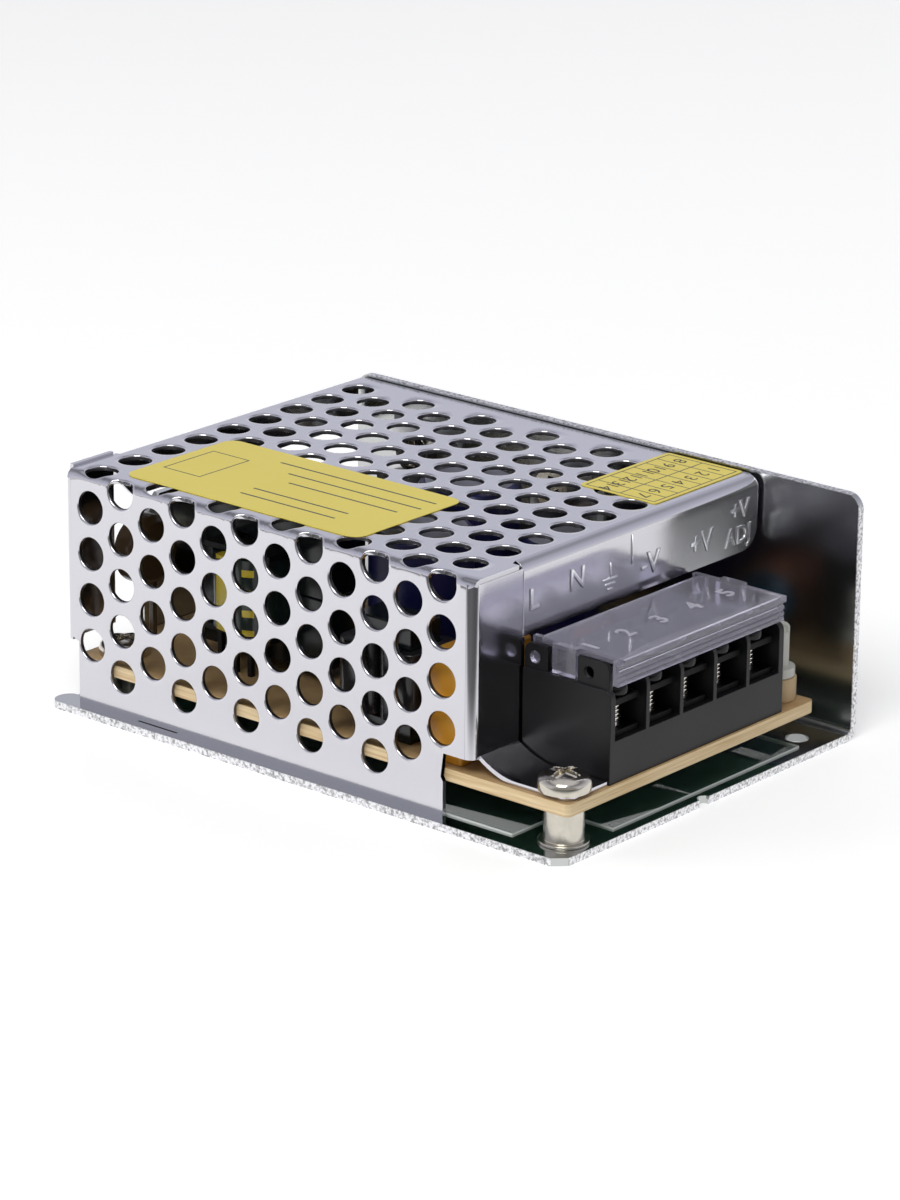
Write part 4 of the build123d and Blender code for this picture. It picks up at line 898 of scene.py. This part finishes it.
def ringWinding():
    # the wire's middle line runs round a rounded box section while it goes round the ring; the tube is a
    # circle carried along it, square to the way ahead
    s = windingSize
    steps = s["turns"] * s["perTurn"]
    t = np.linspace(0, 1, steps)
    around = t * math.radians(s["arc"])
    inSection = t * s["turns"] * 2 * np.pi
    clear = s["wire"] + s["gap"]
    radius = s["middle"] + squared(np.cos(inSection)) * (s["halfWide"] + clear)
    middleHeight = s["board"] + s["standOff"] + s["halfHigh"]
    height = middleHeight + squared(np.sin(inSection)) * (s["halfHigh"] + clear)
    path = np.stack([s["x"] + radius * np.cos(around), s["y"] + radius * np.sin(around), height], -1)
    coreX, coreY = s["x"] + s["middle"] * np.cos(around), s["y"] + s["middle"] * np.sin(around)
    core = np.stack(np.broadcast_arrays(coreX, coreY, middleHeight), -1)
    ahead = unitLength(np.gradient(path, axis=0))
    out = path - core
    out = unitLength(out - (out * ahead).sum(-1, keepdims=True) * ahead)
    side = np.cross(ahead, out)
    turn = np.linspace(0, 2 * np.pi, s["sides"], endpoint=False)[None, :, None]
    tube = path[:, None] + s["wire"] * (np.cos(turn) * out[:, None] + np.sin(turn) * side[:, None])
    faces = gridFaces(steps, s["sides"], wrapColumns=True)
    end = np.arange(s["sides"])
    caps = [end.tolist(), (end[::-1] + (steps - 1) * s["sides"]).tolist()]
    return tube.reshape(-1, 3), faces.tolist() + caps


def copperFinish():
    # enamelled wire: brown varnish over copper, cloudy
    paint = Paint("enamelledCopper", {"Metallic": 0.7, "Coat Weight": 0.5, "Roughness": 0.3})
    paint.surface({"Base Color": paint.mix(paint.noise(400.0), tone(158, 92, 46), tone(124, 68, 32))})
    return paint.material


tubePoints, tubeFaces = ringWinding()
wireMesh = bpy.data.meshes.new("inductorWire")
wireMesh.from_pydata((tubePoints * mm).tolist(), [], tubeFaces)
inductorWire = finishPiece("inductorWire", wireMesh, "case", copperFinish(), 60.0)
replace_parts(inductorWire, "inductor_winding")
print("inductor wound")


# marks: plain letters and numbers

capitalShare = 1.38  # a font's size, as a share of the height of its capitals


def textMarks(name, rows, body, material, depth, rounding):
    # each row: (text, height in mm, matrix that takes letters from their own plane to the part)
    points, faces, start = [], [], 0
    for text, height, matrix in rows:
        letters = bpy.data.curves.new("letters", "FONT")
        letters.body, letters.size = text, height * capitalShare * mm
        letters.align_x, letters.align_y = "CENTER", "CENTER"
        letters.extrude, letters.bevel_depth, letters.bevel_resolution = depth * mm / 2, rounding * mm, 2
        letters.resolution_u = 4
        holder = bpy.data.objects.new("letters", letters)
        bpy.context.scene.collection.objects.link(holder)
        bpy.context.view_layer.update()
        flat = bpy.data.meshes.new_from_object(holder.evaluated_get(bpy.context.evaluated_depsgraph_get()))
        flat.transform(matrix)
        builder = bmesh.new()
        builder.from_mesh(flat)
        bmesh.ops.remove_doubles(builder, verts=builder.verts, dist=weld / 10)
        bmesh.ops.recalc_face_normals(builder, faces=builder.faces)
        points += [tuple(v.co) for v in builder.verts]
        faces += [[v.index + start for v in f.verts] for f in builder.faces]
        start = len(points)
        builder.free()
        bpy.data.objects.remove(holder)
    meshData = bpy.data.meshes.new(name)
    meshData.from_pydata(points, [], faces)
    return finishPiece(name, meshData, body, material, 30.0)


def onPlane(x, y, z, right, up):
    # letters' own x goes along right and own y along up
    right, up = Vector(right).normalized(), Vector(up).normalized()
    out = right.cross(up)
    matrix = Matrix((right, up, out)).transposed().to_4x4()
    matrix.translation = Vector((x, y, z)) * mm
    return matrix


lipPrint = dict(proud=0.02, depth=0.1, rounding=0.09, marks=[
    ("L", 2.8, -16.3, 26.4), ("N", 2.8, -8.2, 26.9), ("-V", 2.8, 5.85, 25.4), ("+V", 2.8, 15.95, 25.5),
    ("+V", 2.3, 23.7, 27.9), ("ADJ", 2.3, 23.5, 24.6)])  # text, height, y, z
lipX = coverSize["front"] + lipPrint["proud"]
marks = [(text, size, onPlane(lipX, y, z, (0, 1, 0), (0, 0, 1))) for text, size, y, z in lipPrint["marks"]]
textMarks("lipMarks", marks, "case", markMetal, lipPrint["depth"], lipPrint["rounding"])

earthSign = dict(slope=0.09, lift=0.17, sink=0.05, bars=[
    (-3.3, -0.5, 25.3, 25.6), (-2.9, -0.9, 24.65, 24.95), (-2.4, -1.4, 24.0, 24.3),
    (-2.05, -1.75, 25.5, 27.5), (2.1, 2.4, 26.2, 30.0)])


def pressedBars(slope, lift, sink, bars):
    # small raised bars on the lip, each (y0, y1, z0, z1): a flat top with sloped sides all round
    parts = []
    for y0, y1, z0, z1 in bars:
        y = np.array([[y0, y0 + slope, y1 - slope, y1]])
        z = np.array([[z0], [z0 + slope], [z1 - slope], [z1]])
        x = np.full((4, 4), coverSize["front"])
        x[1:3, 1:3] += lift
        outer = np.stack(np.broadcast_arrays(x, y, z), -1)
        parts.append(slab(outer, outer * np.array([0, 1, 1]) + np.array([coverSize["front"] - sink, 0, 0])))
    return joined(*parts)


newPiece("lipBars", *pressedBars(**earthSign), "case", "cover", markMetal, 40.0)

flapPrint = dict(x=35.2, top=22.5, proud=0.02, shift=-1.4, height=2.5, depth=0.1, rounding=0.05)
p = flapPrint
digits = [(text, p["height"], onPlane(p["x"], y + p["shift"], p["top"] + p["proud"], (0, 1, 0), (-1, 0, 0)))
          for text, y in zip("12345", terminalScrew["ways"])]
frosted = Paint("frostedMarks", {"Alpha": 0.55, "Roughness": 0.3})
frosted.surface({"Base Color": frosted.mix(frosted.noise(900.0), tone(232, 230, 240), tone(206, 204, 218))})
textMarks("flapDigits", digits, "flap", frosted.material, p["depth"], p["rounding"])

numberPrint = dict(rows=[(20.9, "1 2 3 4 5 6 7"), (15.6, "8 9 10 11 12 13 14")], firstY=25.6, height=1.9,
                   top=31.52, depth=0.006)
p = numberPrint
ink = Paint("blackInk", {"Roughness": 0.5})
ink.surface({"Base Color": ink.mix(ink.noise(500.0), tone(48, 44, 24), tone(70, 64, 36))})
numbers = []
for x, row in p["rows"]:
    for place, number in enumerate(row.split()):
        y = p["firstY"] - gridPrint["row"] * place
        spot = onPlane(x, y, p["top"] + p["depth"], (0, -1, 0), (1, 0, 0))
        numbers.append((number, p["height"], spot))
textMarks("labelNumbers", numbers, "case", ink.material, p["depth"], 0.0)
print("marks made")


# stage, light and camera

studio = dict(floorHalf=3.0, floorTone=0.86, floorSeen=0.36, floorMirrored=0.45, darkTone=0.08,
              keyPower=5.0, fillPower=1.9, backPower=1.4)
darkSector = dict(east=0.65, north=-0.76, floorFrom=58.0, floorFade=22.0, roomFrom=0.55, roomFade=0.2)


def lightPath(paint, kind):
    return paint.add("ShaderNodeLightPath", {}, {}, kind)


def floorFinish():
    # pale floor that glows a little for the eye and for gloss, so that it stays pale under soft light; gloss
    # sees a dark stretch in the sector in front of the object
    paint = Paint("paleFloor", {"Roughness": 0.5, "Emission Strength": 1.0})
    seen, mirrored = lightPath(paint, "Is Camera Ray"), lightPath(paint, "Is Glossy Ray")
    x, y = paint.axes()[:2]
    ahead = x * darkSector["east"] + y * darkSector["north"]
    dark = mirrored * ((ahead - darkSector["floorFrom"]) / darkSector["floorFade"]).clamped()
    glow = paint.mix(mirrored - dark, grey(0.0), grey(studio["floorMirrored"]))
    paint.surface({
        "Emission Color": paint.mix(seen, glow, grey(studio["floorSeen"])),
        "Base Color": paint.mix(dark, grey(studio["floorTone"]), grey(studio["darkTone"]))})
    return paint.material


half = studio["floorHalf"]
floorCorners = [(-half, -half, 0), (half, -half, 0), (half, half, 0), (-half, half, 0)]
floorMesh = bpy.data.meshes.new("floor")
floorMesh.from_pydata(floorCorners, [], [(0, 1, 2, 3)])
floor = bpy.data.objects.new("floor", floorMesh)
bpy.context.scene.collection.objects.link(floor)
floorMesh.materials.append(floorFinish())
floor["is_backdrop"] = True


def roomLight(tree):
    # white where it is seen, plain pale grey on dull surfaces, and a soft room with a darker ceiling and a
    # darker sector in front of the object for gloss
    sky = Paint("studio", {}, tree)
    heading = sky.add("ShaderNodeTexCoord", {}, {}, "Generated")
    east, north, climb = (sky.add("ShaderNodeSeparateXYZ", {}, {0: heading}, i) for i in range(3))
    room = sky.ramp(climb * 0.5 + 0.5, [
        (0.0, grey(0.9)), (0.5, tone(250, 250, 253)), (0.6, tone(226, 227, 238)), (0.72, tone(208, 209, 224)),
        (0.8, tone(196, 197, 208)), (0.88, tone(120, 121, 128)), (0.96, tone(225, 225, 232))])
    ahead = east * darkSector["east"] + north * darkSector["north"]
    dark = ((ahead - darkSector["roomFrom"]) / darkSector["roomFade"]).clamped()
    room = sky.mix(dark, room, grey(0.4))
    shown = sky.mix(lightPath(sky, "Is Glossy Ray"), grey(0.2), room)
    seen = (lightPath(sky, "Is Camera Ray") + lightPath(sky, "Is Transmission Ray")).clamped()
    sky.join(tree.nodes["Background"].inputs["Color"], sky.mix(seen, shown, grey(1.0)))


world = bpy.data.worlds.new("studio")
bpy.context.scene.world = world
world.use_nodes = True
roomLight(world.node_tree)


def softLight(name, place, size, power, mirrored):
    # a square lamp turned towards the object; mirrored says whether gloss shows it
    lamp = bpy.data.lights.new(name, "AREA")
    lamp.shape, lamp.size, lamp.energy = "SQUARE", size, power
    holder = bpy.data.objects.new(name, lamp)
    holder.visible_glossy = mirrored
    bpy.context.scene.collection.objects.link(holder)
    holder.location = place
    holder.rotation_euler = (Vector((0, 0, 0.015)) - Vector(place)).to_track_quat("-Z", "Y").to_euler()


softLight("key", (0.25, -0.55, 0.75), 0.5, studio["keyPower"], True)
softLight("fill", (-0.6, -0.45, 0.35), 0.5, studio["fillPower"], False)
softLight("back", (0.1, 0.6, 0.6), 0.6, studio["backPower"], False)

view = dict(place=(370.97, -439.52, 212.74), right=(0.76232, 0.64715, 0.00809),
            up=(-0.21515, 0.24161, 0.94622), back=(0.61039, -0.72307, 0.32342),
            focus=4902.8, frameHigh=1200, sensor=36.0)  # place in millimetres, focus and frame in pixels
cameraData = bpy.data.cameras.new("camera")
cameraData.sensor_fit = "AUTO"
cameraData.sensor_width = view["sensor"]
cameraData.lens = view["focus"] / view["frameHigh"] * view["sensor"]
cameraData.clip_start, cameraData.clip_end = 0.01, 20.0
camera = bpy.data.objects.new("camera", cameraData)
bpy.context.scene.collection.objects.link(camera)
stand = Matrix((view["right"], view["up"], view["back"])).transposed().to_4x4()
stand.translation = Vector(view["place"]) * mm
camera.matrix_world = stand
bpy.context.scene.camera = camera
bpy.context.scene.view_settings.view_transform = "Standard"

low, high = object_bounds()
print("stage set")
